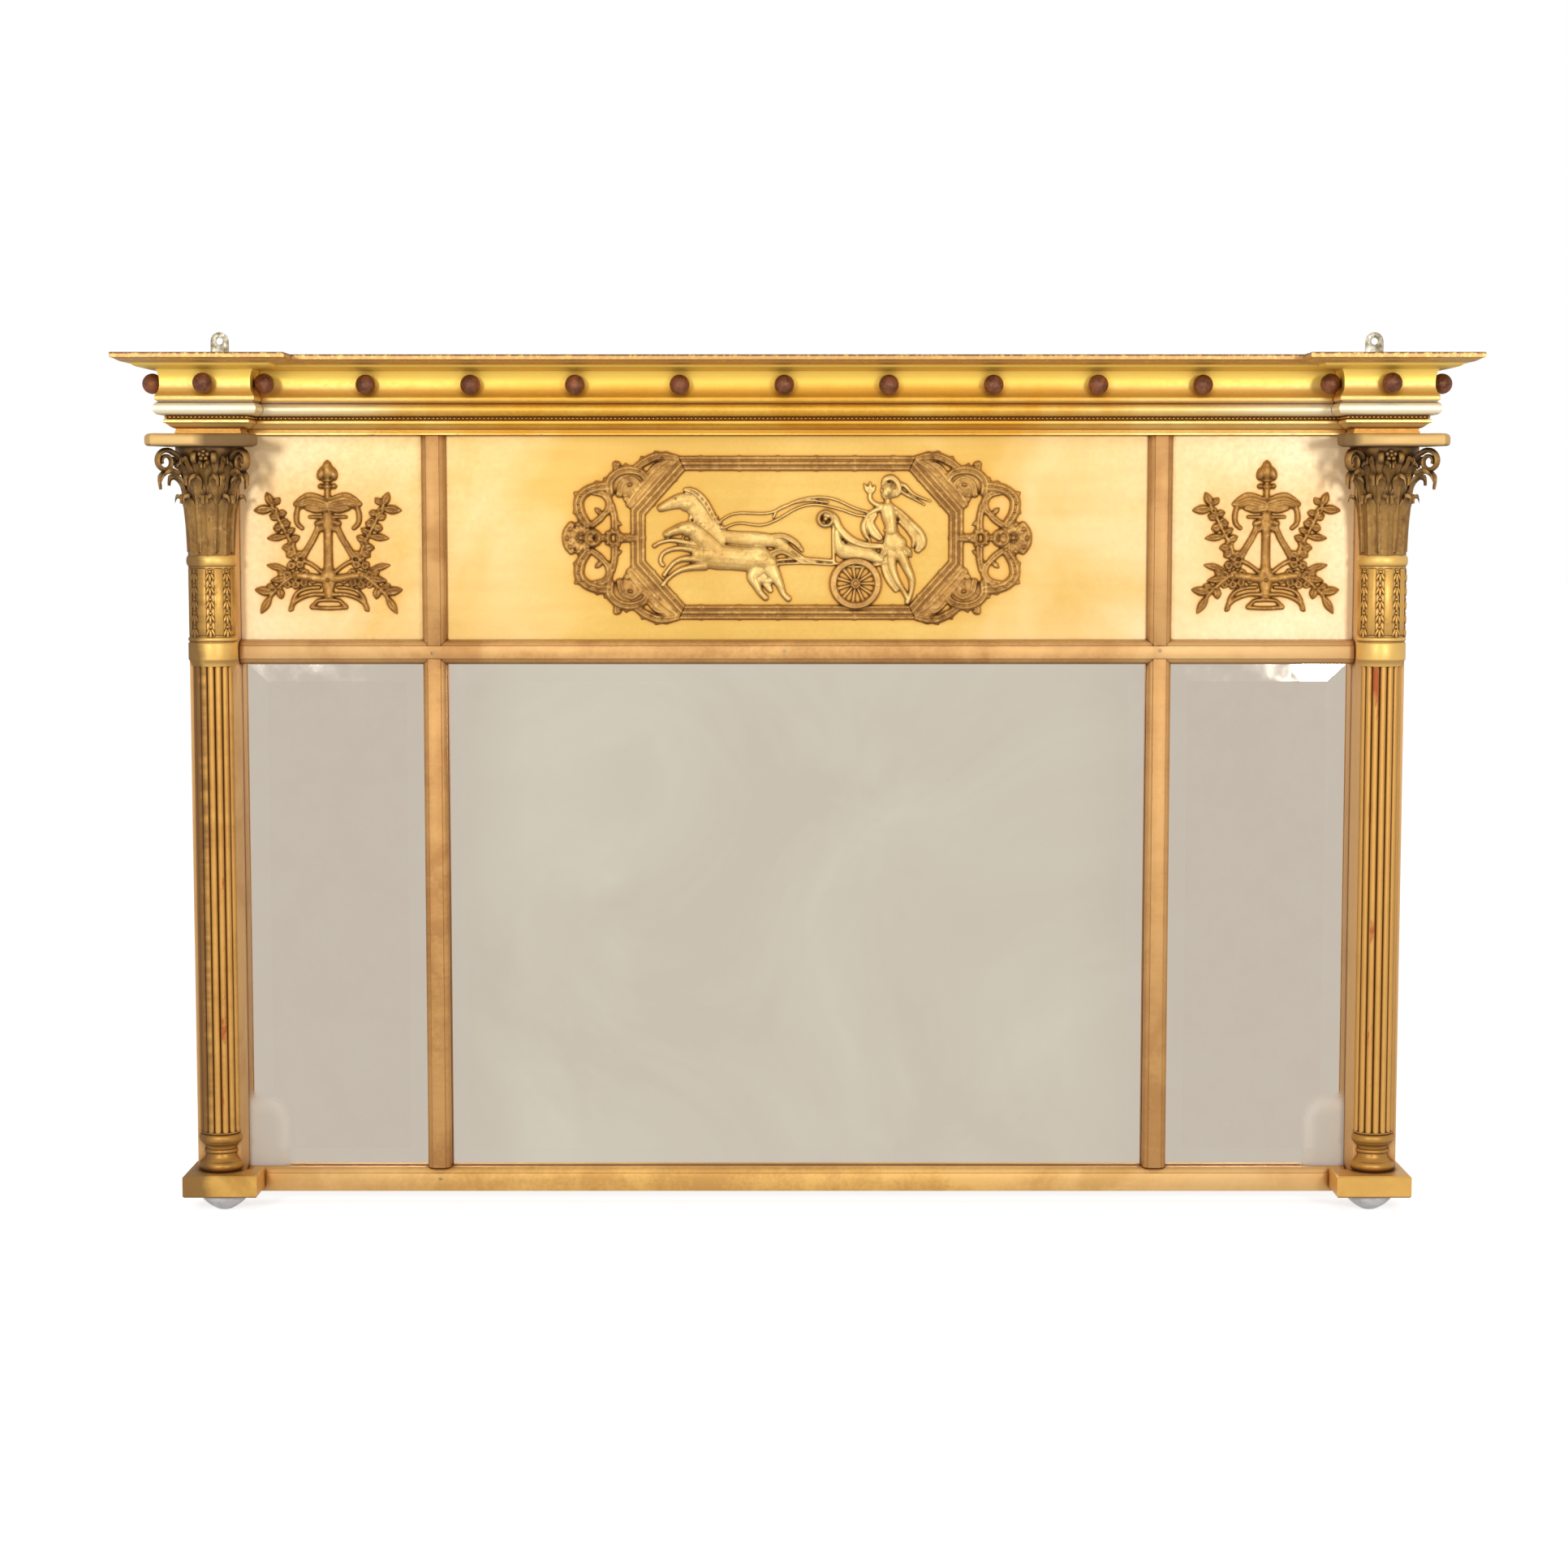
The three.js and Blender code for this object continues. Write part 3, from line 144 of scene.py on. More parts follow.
def spread(value, low, high, newLow=0.0, newHigh=1.0):  # stretches a part of the range
    return addNode(value.id_data, "ShaderNodeMapRange", {
        "Value": value, "From Min": low, "From Max": high, "To Min": newLow, "To Max": newHigh,
    }).outputs[0]


def blend(amount, first, second):
    return addNode(amount.id_data, "ShaderNodeMix", {0: amount, 6: first, 7: second},
                   data_type="RGBA").outputs[2]


def maths(operation, first, second=0.0):
    return addNode(first.id_data, "ShaderNodeMath", {0: first, 1: second}, operation=operation).outputs[0]


def added(first, second):
    return maths("ADD", first, second)


def times(first, second):
    return maths("MULTIPLY", first, second)


def larger(first, second):
    return maths("MAXIMUM", first, second)


def unsigned(value):
    return maths("ABSOLUTE", value)


def axesOf(vector):
    return addNode(vector.id_data, "ShaderNodeSeparateXYZ", {0: vector}).outputs


def occluded(place, reach, samples, inside=False):  # 1 in the open, less near other faces
    return addNode(place.id_data, "ShaderNodeAmbientOcclusion", {"Distance": reach * mm}, samples=samples,
                   inside=inside).outputs["AO"]


def bumped(height, strength, depth):
    return addNode(height.id_data, "ShaderNodeBump", {
        "Height": height, "Strength": strength, "Distance": depth * mm}).outputs["Normal"]


# gilding: one look for each part of the frame; pale is the colour of a painted sheen towards the ends, the
# warm colour is painted shade near other faces, shade is the colour of painted shade in creases and on
# undersides, under is how dark the undersides are painted, and outer how dark the outer side of the left
# column
giltLooks = {
    "cornice_gold": {
        "leaf": (238, 188, 76), "deep": (220, 160, 48), "pale": (246, 216, 142), "clay": (170, 106, 48),
        "shade": (92, 52, 12), "warmShade": (206, 138, 34), "wear": 0.22, "metal": 0.55, "rough": 0.42,
        "reach": 9, "patch": 9, "under": 0.15,
    },
    "panel_gold": {
        "leaf": (232, 192, 104), "deep": (220, 176, 84), "pale": (249, 224, 184), "clay": (190, 138, 70),
        "shade": (120, 70, 18), "warmShade": (222, 160, 62), "wear": 0.05, "metal": 0.5, "rough": 0.46,
        "reach": 15, "patch": 5, "under": 0.2,
    },
    "rail_gold": {
        "leaf": (226, 176, 106), "deep": (196, 142, 80), "pale": (234, 190, 128), "clay": (160, 96, 52),
        "shade": (90, 50, 18), "warmShade": (180, 116, 46), "wear": 0.4, "metal": 0.45, "rough": 0.48,
        "reach": 8, "patch": 14, "under": 0.6,
    },
    "abacus_gold": {
        "leaf": (220, 172, 98), "deep": (186, 132, 66), "pale": (230, 190, 120), "clay": (130, 80, 42),
        "shade": (86, 54, 24), "warmShade": (150, 98, 44), "wear": 0.5, "metal": 0.4, "rough": 0.5,
        "reach": 9, "patch": 20, "under": 0.7,
    },
    "column_gold": {
        "leaf": (220, 160, 70), "deep": (176, 116, 40), "pale": (226, 172, 88), "clay": (186, 76, 30),
        "shade": (100, 58, 16), "warmShade": (142, 88, 28), "wear": 0.75, "metal": 0.5, "rough": 0.42,
        "reach": 7, "patch": 16, "under": 0.6, "outer": 0.75, "bole": 0.629,
    },
    "base_gold": {
        "leaf": (220, 164, 72), "deep": (174, 120, 44), "pale": (234, 182, 94), "clay": (150, 84, 36),
        "shade": (78, 44, 10), "warmShade": (140, 86, 26), "wear": 0.35, "metal": 0.58, "rough": 0.38,
        "reach": 8, "patch": 18, "under": 0.7, "outer": 0.6,
    },
    "capital_gold": {
        "leaf": (164, 120, 58), "deep": (116, 80, 36), "pale": (170, 126, 62), "clay": (132, 82, 38),
        "shade": (50, 28, 8), "warmShade": (84, 52, 18), "wear": 0.2, "metal": 0.45, "rough": 0.5,
        "reach": 9, "patch": 30, "under": 0.6, "mottle": 0.22,
    },
    "relief_gold": {
        "leaf": (246, 208, 128), "deep": (212, 166, 88), "pale": (244, 204, 124), "clay": (170, 110, 52),
        "shade": (92, 50, 12), "warmShade": (150, 96, 34), "wear": 0.15, "metal": 0.5, "rough": 0.4,
        "reach": 5, "patch": 24, "under": 0.6, "mottle": 0.25, "outline": 0.9,
    },
    "scroll_gold": {
        "leaf": (214, 162, 82), "deep": (172, 120, 54), "pale": (218, 166, 88), "clay": (152, 96, 42),
        "shade": (84, 46, 12), "warmShade": (124, 78, 26), "wear": 0.25, "metal": 0.5, "rough": 0.42,
        "reach": 5, "patch": 20, "under": 0.6, "mottle": 0.4, "outline": 0.9,
    },
    "lyre_gold": {
        "leaf": (200, 146, 66), "deep": (148, 98, 38), "pale": (194, 140, 64), "clay": (140, 88, 40),
        "shade": (86, 48, 12), "warmShade": (122, 76, 26), "wear": 0.25, "metal": 0.45, "rough": 0.44,
        "reach": 6, "patch": 40, "under": 0.6, "mottle": 0.4, "outline": 0.9,
    },
}
giltLooks["mullion_gold"] = dict(giltLooks["rail_gold"], leaf=(214, 162, 94), deep=(184, 130, 70),
                                 pale=(214, 164, 102))
giltLooks["drum_gold"] = dict(giltLooks["column_gold"], leaf=(246, 192, 98), deep=(206, 148, 64),
                              pale=(250, 204, 114), wear=0.4, bole=0)
giltLooks["foot_gold"] = dict(giltLooks["base_gold"], leaf=(182, 128, 52), deep=(138, 90, 30),
                              pale=(196, 144, 66))
giltLooks["wheel_gold"] = dict(giltLooks["relief_gold"], leaf=(224, 174, 96), deep=(184, 132, 66),
                               pale=(224, 174, 96), outline=0.96)
# a lighter copy of rail_gold for the bottom rail: painted light, because the bottom rail gets less lamp light
giltLooks["lit_sill_gold"] = dict(giltLooks["rail_gold"], leaf=(240, 190, 106), deep=(212, 160, 84))


# the painted warm shade on the frieze panels: places in metres, where it starts and stops
panelWarmShade = {
    "centreHalf": (0.27, 0.30), "sideHalf": (0.082, 0.096), "halfHeight": (0.094, 0.102),
    "shadeHalo": (0.05, 0.088), "haloFrom": (0.3, 0.4), "haloShare": 0.42,
}


def besideCarving(place):  # masks for the painted warm shade: 1 over the middle of each frieze panel, 0 towards its rails, and a halo
    axes = axesOf(place)
    high = unsigned(maths("SUBTRACT", axes["Z"], friezeMiddle * mm))
    out = unsigned(axes["X"])
    bay = unsigned(maths("SUBTRACT", out, lyreLine * mm))
    wide = larger(spread(out, *panelWarmShade["centreHalf"], 1, 0), spread(bay, *panelWarmShade["sideHalf"], 1, 0))
    shadeHalo = spread(larger(bay, high), *panelWarmShade["shadeHalo"], panelWarmShade["haloShare"], 0)
    shadeHalo = times(shadeHalo, spread(out, *panelWarmShade["haloFrom"]))  # painted warm shade, stronger between the laurel branches
    return times(wide, spread(high, *panelWarmShade["halfHeight"], 1, 0)), shadeHalo


crownTone = {  # colours, and the heights in metres between which each one comes in; the bright upper cove and crown ogee and the cream on the torus are painted highlights
    "ogee": (255, 214, 96), "ogeeFrom": (0.874, 0.881),
    "cove": (214, 156, 52), "coveFrom": (0.877, 0.872), "coveFoot": (0.861, 0.863),
    "band": (204, 156, 96), "bandFrom": (0.8974, 0.8985),
    "edge": (120, 76, 36), "edgeFrom": (0.9056, 0.9068),
    "torusHighlight": (255, 248, 220), "torusFrom": (0.8425, 0.846), "torusTop": (0.8595, 0.857),
    "ends": (0.42, 0.62),
}


def corniceTones(place, colour, flecks):  # browned crown with a dark top edge and a deeper orange low in the cove; painted highlights on the upper cove and crown ogee and cream ones at the ends of the torus
    def level(name, *shares):
        return spread(height, *crownTone[name], *shares)

    axes = axesOf(place)
    height = axes["Z"]
    ends = spread(unsigned(axes["X"]), *crownTone["ends"], 0, 0.85)
    amounts = {
        "ogee": level("ogeeFrom", 0, 0.85),
        "cove": times(level("coveFrom", 0, 0.65), level("coveFoot")),
        "band": times(level("bandFrom"), spread(flecks, 0.3, 0.5, 0.55, 0.9)),
        "edge": times(level("edgeFrom"), spread(flecks, 0.38, 0.52, 0.25, 1)),
        "torusHighlight": times(times(level("torusFrom"), level("torusTop")), ends),
    }
    for name, amount in amounts.items():
        colour = blend(amount, colour, paint(*crownTone[name]))
    return colour


# shared by all the gilding: scales of the noises, reaches in millimetres, places in metres; the crease reach,
# the pale span and the shaded places set painted shade and sheen
gilding = {
    "flecks": 210, "streaks": 16, "specks": 150, "rubbed": 60, "spots": 34, "clay": 26, "swell": 38,
    "grain": 9,
    "edgeReach": 1.6, "creaseShadeReach": 2.6, "speckTone": (246, 208, 134), "bump": 0.35, "depth": 0.6,
    "middle": -0.06, "pale": (0.22, 0.62), "clayHalf": (0.0065, 0.002),
    "shadedLeft": (-0.648, -0.634), "shadedRight": (0.606, 0.594), "outerSideShade": (-0.640, -0.650),
    "bareLight": (178, 144, 100), "bareDark": (140, 106, 68),
    "rear": (-0.036, -0.032), "top": (0.9066, 0.9076),
}


def leafColour(place, look, patches, flecks, streaks):  # uneven leaf, with a painted sheen making it paler towards both ends of the mirror
    tone = added(spread(patches, 0.36, 0.66), spread(flecks, 0.35, 0.7, -0.3, 0.3))
    tone = added(tone, spread(streaks, 0.35, 0.65, -0.2, 0.2))
    leaf = blend(tone, paint(*look["deep"]), paint(*look["leaf"]))
    # painted sheen: the leaf turns to its pale colour towards both ends
    across = unsigned(added(axesOf(place)["X"], -gilding["middle"]))
    across = added(across, spread(patches, 0.3, 0.7, -0.12, 0.12))
    return blend(spread(across, *gilding["pale"], 0, 0.85), leaf, paint(*look["pale"]))


def wearOf(place, look):  # edges rubbed through to the clay, in broken patches
    edges = spread(occluded(place, gilding["edgeReach"], 6, inside=True), 0.9, 0.5)
    broken = spread(noise(place, gilding["rubbed"], 6, 0.7), 0.62 - 0.2 * look["wear"], 0.68)
    spots = spread(noise(place, gilding["spots"], 8, 0.72, 0.4), 0.70 - 0.08 * look["wear"], 0.76)
    return larger(times(edges, broken), times(spots, look["wear"]))


def clayStreaks(place, look):  # the front reeds are rubbed through to red clay in long streaks
    front = unsigned(maths("SUBTRACT", unsigned(axesOf(place)["X"]), look["bole"]))
    streaks = spread(noise(place, gilding["clay"], 5, 0.7, 0.3, stretch=(1.6, 1, 0.45)), 0.53, 0.60)
    return times(streaks, spread(front, *gilding["clayHalf"], 0, 0.85))


def shadeOf(name, look, place, normal, specks, streaks):  # painted shade: dark brown in the creases and outlines, and on the undersides
    x = axesOf(place)["X"]
    # painted shade in the creases and outlines, then random dark mottling
    creaseShadeAndMottle = spread(occluded(place, gilding["creaseShadeReach"], 6), look.get("outline", 0.80), 0.36)
    creaseShadeAndMottle = larger(creaseShadeAndMottle, spread(specks, 0.45, 0.32, 0, look.get("mottle", 0)))
    # painted shade on faces turned downwards
    dark = larger(creaseShadeAndMottle, spread(axesOf(normal)["Z"], -0.15, -0.8, 0, look["under"]))
    if name == "abacus_gold":  # toned where the cornice shades it
        inner = times(spread(x, *gilding["shadedLeft"], 0, 0.75), spread(x, *gilding["shadedRight"]))
        dark = larger(dark, inner)
    if look.get("outer"):  # painted shade darkens the outer side of the left column
        far = added(x, spread(streaks, 0.35, 0.65, -0.003, 0.003))
        dark = larger(dark, spread(far, *gilding["outerSideShade"], 0, look["outer"]))
    return dark


def bareFaces(place, normal):  # rear faces and the top of the crown were never gilded
    spot, way = axesOf(place), axesOf(normal)
    rear = times(spread(way["Y"], 0.6, 0.8), spread(spot["Y"], *gilding["rear"]))
    return larger(rear, times(spread(way["Z"], 0.75, 0.9), spread(spot["Z"], *gilding["top"])))


def giltMaterial(name, look):
    material, tree, shader, place = blankMaterial(name)
    normal = addNode(tree, "ShaderNodeNewGeometry").outputs["Normal"]
    patches = noise(place, look["patch"], 3, distortion=0.6)
    flecks = noise(place, gilding["flecks"], 5, 0.65)
    streaks = noise(place, gilding["streaks"], 3, stretch=(0.4, 1, 5))
    specks = noise(place, gilding["specks"], 3, 0.6)
    leaf = leafColour(place, look, patches, flecks, streaks)
    leaf = blend(spread(specks, 0.55, 0.68, 0, look.get("mottle", 0)), leaf, paint(*gilding["speckTone"]))
    wear = wearOf(place, look)
    worn = blend(wear, leaf, paint(*look["clay"]))
    if look.get("bole"):
        clay = clayStreaks(place, look)
        worn = blend(clay, worn, paint(*look["clay"]))
        wear = larger(wear, clay)

    warmShade = spread(occluded(place, look["reach"], 8), 0.95, 0.5)  # painted warm shade round the carving, where other faces are near
    if name == "panel_gold":
        near, shadeHalo = besideCarving(place)
        warmShade = larger(times(warmShade, near), shadeHalo)
    warm = blend(warmShade, worn, paint(*look["warmShade"]))
    if name == "cornice_gold":
        warm = corniceTones(place, warm, flecks)
    dark = shadeOf(name, look, place, normal, specks, streaks)
    gilded = blend(dark, warm, paint(*look["shade"]))
    bare = bareFaces(place, normal)
    grain = spread(noise(place, gilding["grain"], 4, stretch=(1, 1, 12)), 0.35, 0.65)
    wood = blend(grain, paint(*gilding["bareDark"]), paint(*gilding["bareLight"]))

    matt = larger(larger(wear, dark), bare)
    height = added(times(noise(place, gilding["swell"], 2), 1.6), times(flecks, 0.25))
    feed(shader, {
        "Base Color": blend(bare, gilded, wood),
        "Metallic": spread(matt, 0, 1, look["metal"], 0.05),
        "Roughness": spread(added(matt, flecks), 0.4, 1.6, look["rough"], 0.8),
        "Normal": bumped(height, gilding["bump"], gilding["depth"]),
    })
    return material


materials = {name: giltMaterial(name, look) for name, look in giltLooks.items()}

ballLook = {"wood": (150, 88, 54), "dark": (84, 42, 22), "fleck": (190, 128, 70), "rough": 0.38}


def ballMaterial(name):
    material, tree, shader, place = blankMaterial(name)
    tone = noise(place, 60, 4, distortion=0.5)
    flecks = spread(noise(place, 300, 3), 0.5, 0.75)
    colour = blend(spread(tone, 0.35, 0.7), paint(*ballLook["dark"]), paint(*ballLook["wood"]))
    feed(shader, {
        "Base Color": blend(times(flecks, 0.35), colour, paint(*ballLook["fleck"])),
        "Metallic": 0.3,
        "Roughness": spread(tone, 0.3, 0.7, ballLook["rough"], 0.6),
        "Normal": bumped(flecks, 0.2, 0.3),
    })
    return material


glassLook = {
    "middle": (232, 224, 204), "cloud": (224, 213, 195), "end": (216, 203, 187), "edge": (224, 214, 200),
    "haze": (226, 218, 205), "speck": (130, 118, 104), "dull": (207, 200, 188),
    "endFrom": (0.30, 0.42), "dullBelow": (0.10, 0.066), "dullBeyond": (0.558, 0.584),
}


def glassMaterial(name):
    material, tree, shader, place = blankMaterial(name)
    axes = axesOf(place)
    across = unsigned(axes["X"])
    cloud = spread(noise(place, 3.4, 4, 0.6, 0.8), 0.40, 0.62)
    haze = spread(noise(place, 26, 5, 0.7), 0.4, 0.75)
    specks = spread(noise(place, 420, 2), 0.76, 0.80)
    facing = axesOf(addNode(tree, "ShaderNodeNewGeometry").outputs["Normal"])["Y"]
    # the silvering has gone dull in the lower outer corners
    dull = times(spread(axes["Z"], *glassLook["dullBelow"]), spread(across, *glassLook["dullBeyond"]))
    colour = blend(cloud, paint(*glassLook["cloud"]), paint(*glassLook["middle"]))
    for amount, tone in ((spread(across, *glassLook["endFrom"], 0, 0.9), "end"), (times(haze, 0.3), "haze"),
                         (times(specks, 0.3), "speck"),
                         (spread(unsigned(facing), 0.9995, 0.9985, 0, 0.25), "edge"), (dull, "dull")):
        colour = blend(amount, colour, paint(*glassLook[tone]))
    feed(shader, {
        "Base Color": colour,
        "Metallic": spread(dull, 0, 1, 1, 0),
        "Roughness": larger(spread(haze, 0, 1, 0.02, 0.09), spread(dull, 0, 1, 0, 0.85)),
    })
    return material


woodLook = {"light": (184, 148, 100), "dark": (128, 92, 56)}


def woodMaterial(name):
    material, tree, shader, place = blankMaterial(name)
    grain = noise(place, 30, 6, 0.6, 0.4, stretch=(0.12, 1, 6))
    fine = noise(place, 140, 3, stretch=(0.1, 1, 4))
    tone = added(spread(grain, 0.35, 0.65, 0, 0.8), spread(fine, 0.4, 0.7, 0, 0.3))
    feed(shader, {
        "Base Color": blend(tone, paint(*woodLook["dark"]), paint(*woodLook["light"])),
        "Roughness": 0.8,
        "Normal": bumped(tone, 0.3, 0.4),
    })
    return material


brassLook = {"bright": (214, 208, 190), "dull": (132, 118, 92)}


def brassMaterial(name):
    material, tree, shader, place = blankMaterial(name)
    tone = spread(noise(place, 130, 5, 0.65), 0.38, 0.66)
    feed(shader, {
        "Base Color": blend(tone, paint(*brassLook["dull"]), paint(*brassLook["bright"])),
        "Metallic": 0.9,
        "Roughness": spread(tone, 0, 1, 0.55, 0.3),
    })
    return material


padLook = {"pale": (222, 220, 222), "soft": (200, 197, 200)}


def padMaterial(name):
    material, tree, shader, place = blankMaterial(name)
    tone = spread(noise(place, 90, 3), 0.4, 0.65)
    feed(shader, {
        "Base Color": blend(tone, paint(*padLook["soft"]), paint(*padLook["pale"])),
        "Roughness": spread(tone, 0, 1, 0.5, 0.35),
        "Coat Weight": 0.15,
    })
    return material


makers = {
    "bronzed_ball": ballMaterial, "silvered_glass": glassMaterial, "bare_softwood": woodMaterial,
    "aged_brass": brassMaterial, "pale_plastic": padMaterial,
}
for name, maker in makers.items():
    materials[name] = maker(name)
print("materials made")


# helpers for the meshes
def markSharp(bm, angle):
    for face in bm.faces:
        face.smooth = True
    for edge in bm.edges:
        edge.smooth = len(edge.link_faces) == 2 and edge.calc_face_angle(0) < math.radians(angle)


def finish(name, bm, slotName, nodes, sharp=38, recalc=True, skin=None):
    if recalc:
        bmesh.ops.recalc_face_normals(bm, faces=bm.faces)
    markSharp(bm, sharp)
    bmesh.ops.scale(bm, vec=(mm, mm, mm), verts=bm.verts)
    mesh = bpy.data.meshes.new(name)
    bm.to_mesh(mesh)
    bm.free()
    piece = bpy.data.objects.new(name, mesh)
    bpy.context.collection.objects.link(piece)
    mesh.materials.append(materials[skin or slotName])
    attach(piece, "root")
    if nodes:
        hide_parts(*nodes)


scratch = bpy.data.meshes.new("scratch")


def handOver(form, bm):  # adds a form, made on its own, to the piece it belongs to
    form.to_mesh(scratch)
    form.free()
    bm.from_mesh(scratch)


def stackRings(bm, rings):  # pushes a face through a row of rings and closes both ends
    form = bmesh.new()
    foot = [form.verts.new(point) for point in rings[0]]
    top = form.faces.new(foot)
    for ring in rings[1:]:
        top = bmesh.ops.extrude_discrete_faces(form, faces=[top])["faces"][0]
        for vert, point in zip(top.verts, ring):
            vert.co = point
    form.faces.new(foot)
    handOver(form, bm)


def spun(bm, profile, steps, centre):  # turned about a standing axis, [radius, height]
    form = bmesh.new()
    verts = [form.verts.new((radius, 0, height)) for radius, height in profile]
    edges = [form.edges.new(pair) for pair in zip(verts, verts[1:])]
    bmesh.ops.spin(form, geom=verts + edges, cent=(0, 0, 0), axis=(0, 0, 1), angle=2 * math.pi,
                   steps=steps, use_merge=True)
    bmesh.ops.remove_doubles(form, verts=form.verts, dist=1e-4)
    bmesh.ops.recalc_face_normals(form, faces=form.faces)
    bmesh.ops.translate(form, verts=form.verts, vec=centre)
    handOver(form, bm)


def egg(bm, place, sizes, turns=(), around=16, high=10):  # a ball, stretched, then turned about Y or Z
    form = bmesh.new()
    verts = bmesh.ops.create_uvsphere(form, u_segments=around, v_segments=high, radius=1)["verts"]
    bmesh.ops.scale(form, vec=sizes, verts=verts)
    for angle, axis in turns:
        bmesh.ops.rotate(form, verts=verts, matrix=Matrix.Rotation(math.radians(angle), 3, axis))
    bmesh.ops.translate(form, verts=verts, vec=place)
    handOver(form, bm)


def cutAcross(bm, depth):  # keeps what lies in front of a depth and hands back the rim of the cut
    geometry = bm.verts[:] + bm.edges[:] + bm.faces[:]
    cut = bmesh.ops.bisect_plane(bm, geom=geometry, plane_co=(0, depth, 0), plane_no=(0, 1, 0),
                                 clear_outer=True)
    return [item for item in cut["geom_cut"] if isinstance(item, bmesh.types.BMEdge)]


def flatBack(bm):  # cuts and closes a form where it meets the stile
    bmesh.ops.holes_fill(bm, edges=cutAcross(bm, columnBack), sides=0)


def curvePoints(points, steps):  # a smooth run through points of any size
    points = [Vector(point) for point in points]
    ends = [2 * points[0] - points[1]] + points + [2 * points[-1] - points[-2]]
    run = []
    for a, b, c, d in zip(ends, ends[1:], ends[2:], ends[3:]):
        for i in range(steps):
            t = i / steps
            run.append(0.5 * (2 * b + (c - a) * t + (2 * a - 5 * b + 4 * c - d) * t * t
                              + (3 * b - a - 3 * c + d) * t ** 3))
    run.append(points[-1])
    return run


def bend(*points, steps=4):  # a curved stretch of a profile
    return [(point.x, point.y) for point in curvePoints(points, steps)]


def arc(centre, radii, start, end, steps):  # part of an ellipse, angles in degrees
    turns = [math.radians(start + (end - start) * i / steps) for i in range(steps + 1)]
    return [(centre[0] + radii[0] * math.cos(t), centre[1] + radii[1] * math.sin(t)) for t in turns]


def remeshed(bm, voxel):  # fuses overlapping closed forms into one skin
    mesh = bpy.data.meshes.new("fusing")
    bm.to_mesh(mesh)
    bm.free()
    holder = bpy.data.objects.new("fusing", mesh)
    bpy.context.collection.objects.link(holder)
    fuse = holder.modifiers.new("fuse", "REMESH")
    fuse.mode = "VOXEL"
    fuse.voxel_size = voxel
    depsgraph = bpy.context.evaluated_depsgraph_get()
    fused = bpy.data.meshes.new_from_object(holder.evaluated_get(depsgraph))
    bpy.data.objects.remove(holder)
    bpy.data.meshes.remove(mesh)
    bm = bmesh.new()
    bm.from_mesh(fused)
    bpy.data.meshes.remove(fused)
    for _ in range(2):
        bmesh.ops.smooth_vert(bm, verts=bm.verts, factor=0.5, use_axis_x=True, use_axis_y=True,
                              use_axis_z=True)
    return bm


# Reliefs are drawn round (0, 0) in the plane of a panel and stand out towards -Y.
stroke = {
    "sunk": 2.5,  # how far a form runs into its panel before it is cut flat
    "ends": (25, 50, 80), "endReach": 0.8, "cells": 8, "creaseHalf": 0.28, "thinnest": 0.5,
}


def raised(bm, points, height, crease=0.0, steps=5):  # a stroke through points of [x, z, half width]
    run = curvePoints([(x, width, z) for x, z, width in points], steps)
    heads = []
    for i, point in enumerate(run):
        along = run[min(i + 1, len(run) - 1)] - run[max(i - 1, 0)]
        along = Vector((along.x, 0, along.z)).normalized()
        heads.append((Vector((point.x, 0, point.z)), along, max(point.y, stroke["thinnest"])))
    rings = [(at, along, width, 1) for at, along, width in heads]
    for turn in stroke["ends"]:  # both ends are rounded off
        t = math.radians(turn)
        for (at, along, width), way in ((heads[0], -1), (heads[-1], 1)):
            spot = at + along * width * math.sin(t) * stroke["endReach"] * way
            rings.insert(0 if way < 0 else len(rings), (spot, along, width * math.cos(t), math.cos(t)))
    loops = []
    for at, along, width, share in rings:
        side = Vector((along.z, 0, -along.x))
        tall = min(height, 1.25 * width + 1.2) * share ** 0.5
        loop = []
        for k in range(stroke["cells"] + 1):
            angle = math.pi * k / stroke["cells"]
            s, t = math.cos(angle), math.sin(angle) ** 0.75
            t *= 1 - crease * math.exp(-((s / stroke["creaseHalf"]) ** 2))
            loop.append(at + side * s * width + Vector((0, -tall * t, 0)))
        loop += [at + side * way * width + Vector((0, stroke["sunk"], 0)) for way in (-1, 1)]
        loops.append(loop)
    stackRings(bm, loops)


def mound(bm, x, z, halfWide, halfTall, height, turn=0):  # an egg lying on the panel
    egg(bm, (x, 0, z), (halfWide, height, halfTall), [(turn, "Y")])


def hoop(bm, x, z, radius, halfWidth, height, steps=28):  # a raised ring
    form = bmesh.new()
    turns = [2 * math.pi * k / 8 for k in range(8)]
    verts = [form.verts.new((radius + halfWidth * math.cos(t), -height * math.sin(t), 0)) for t in turns]
    edges = [form.edges.new(pair) for pair in zip(verts, verts[1:] + verts[:1])]
    bmesh.ops.spin(form, geom=verts + edges, cent=(0, 0, 0), axis=(0, 1, 0), angle=2 * math.pi,
                   steps=steps, use_merge=True)
    bmesh.ops.remove_doubles(form, verts=form.verts, dist=1e-4)
    bmesh.ops.translate(form, verts=form.verts, vec=(x, 0, z))
    handOver(form, bm)


leafWidths = ((0, 0.25), (0.3, 0.85), (0.55, 1), (0.8, 0.62), (1, 0.12))  # share of the way, of the width


def leafShape(bm, foot, tip, halfWidth, height, crease=0.35):
    at = [(foot[0] + (tip[0] - foot[0]) * t, foot[1] + (tip[1] - foot[1]) * t, halfWidth * w)
          for t, w in leafWidths]
    raised(bm, at, height, crease, 3)


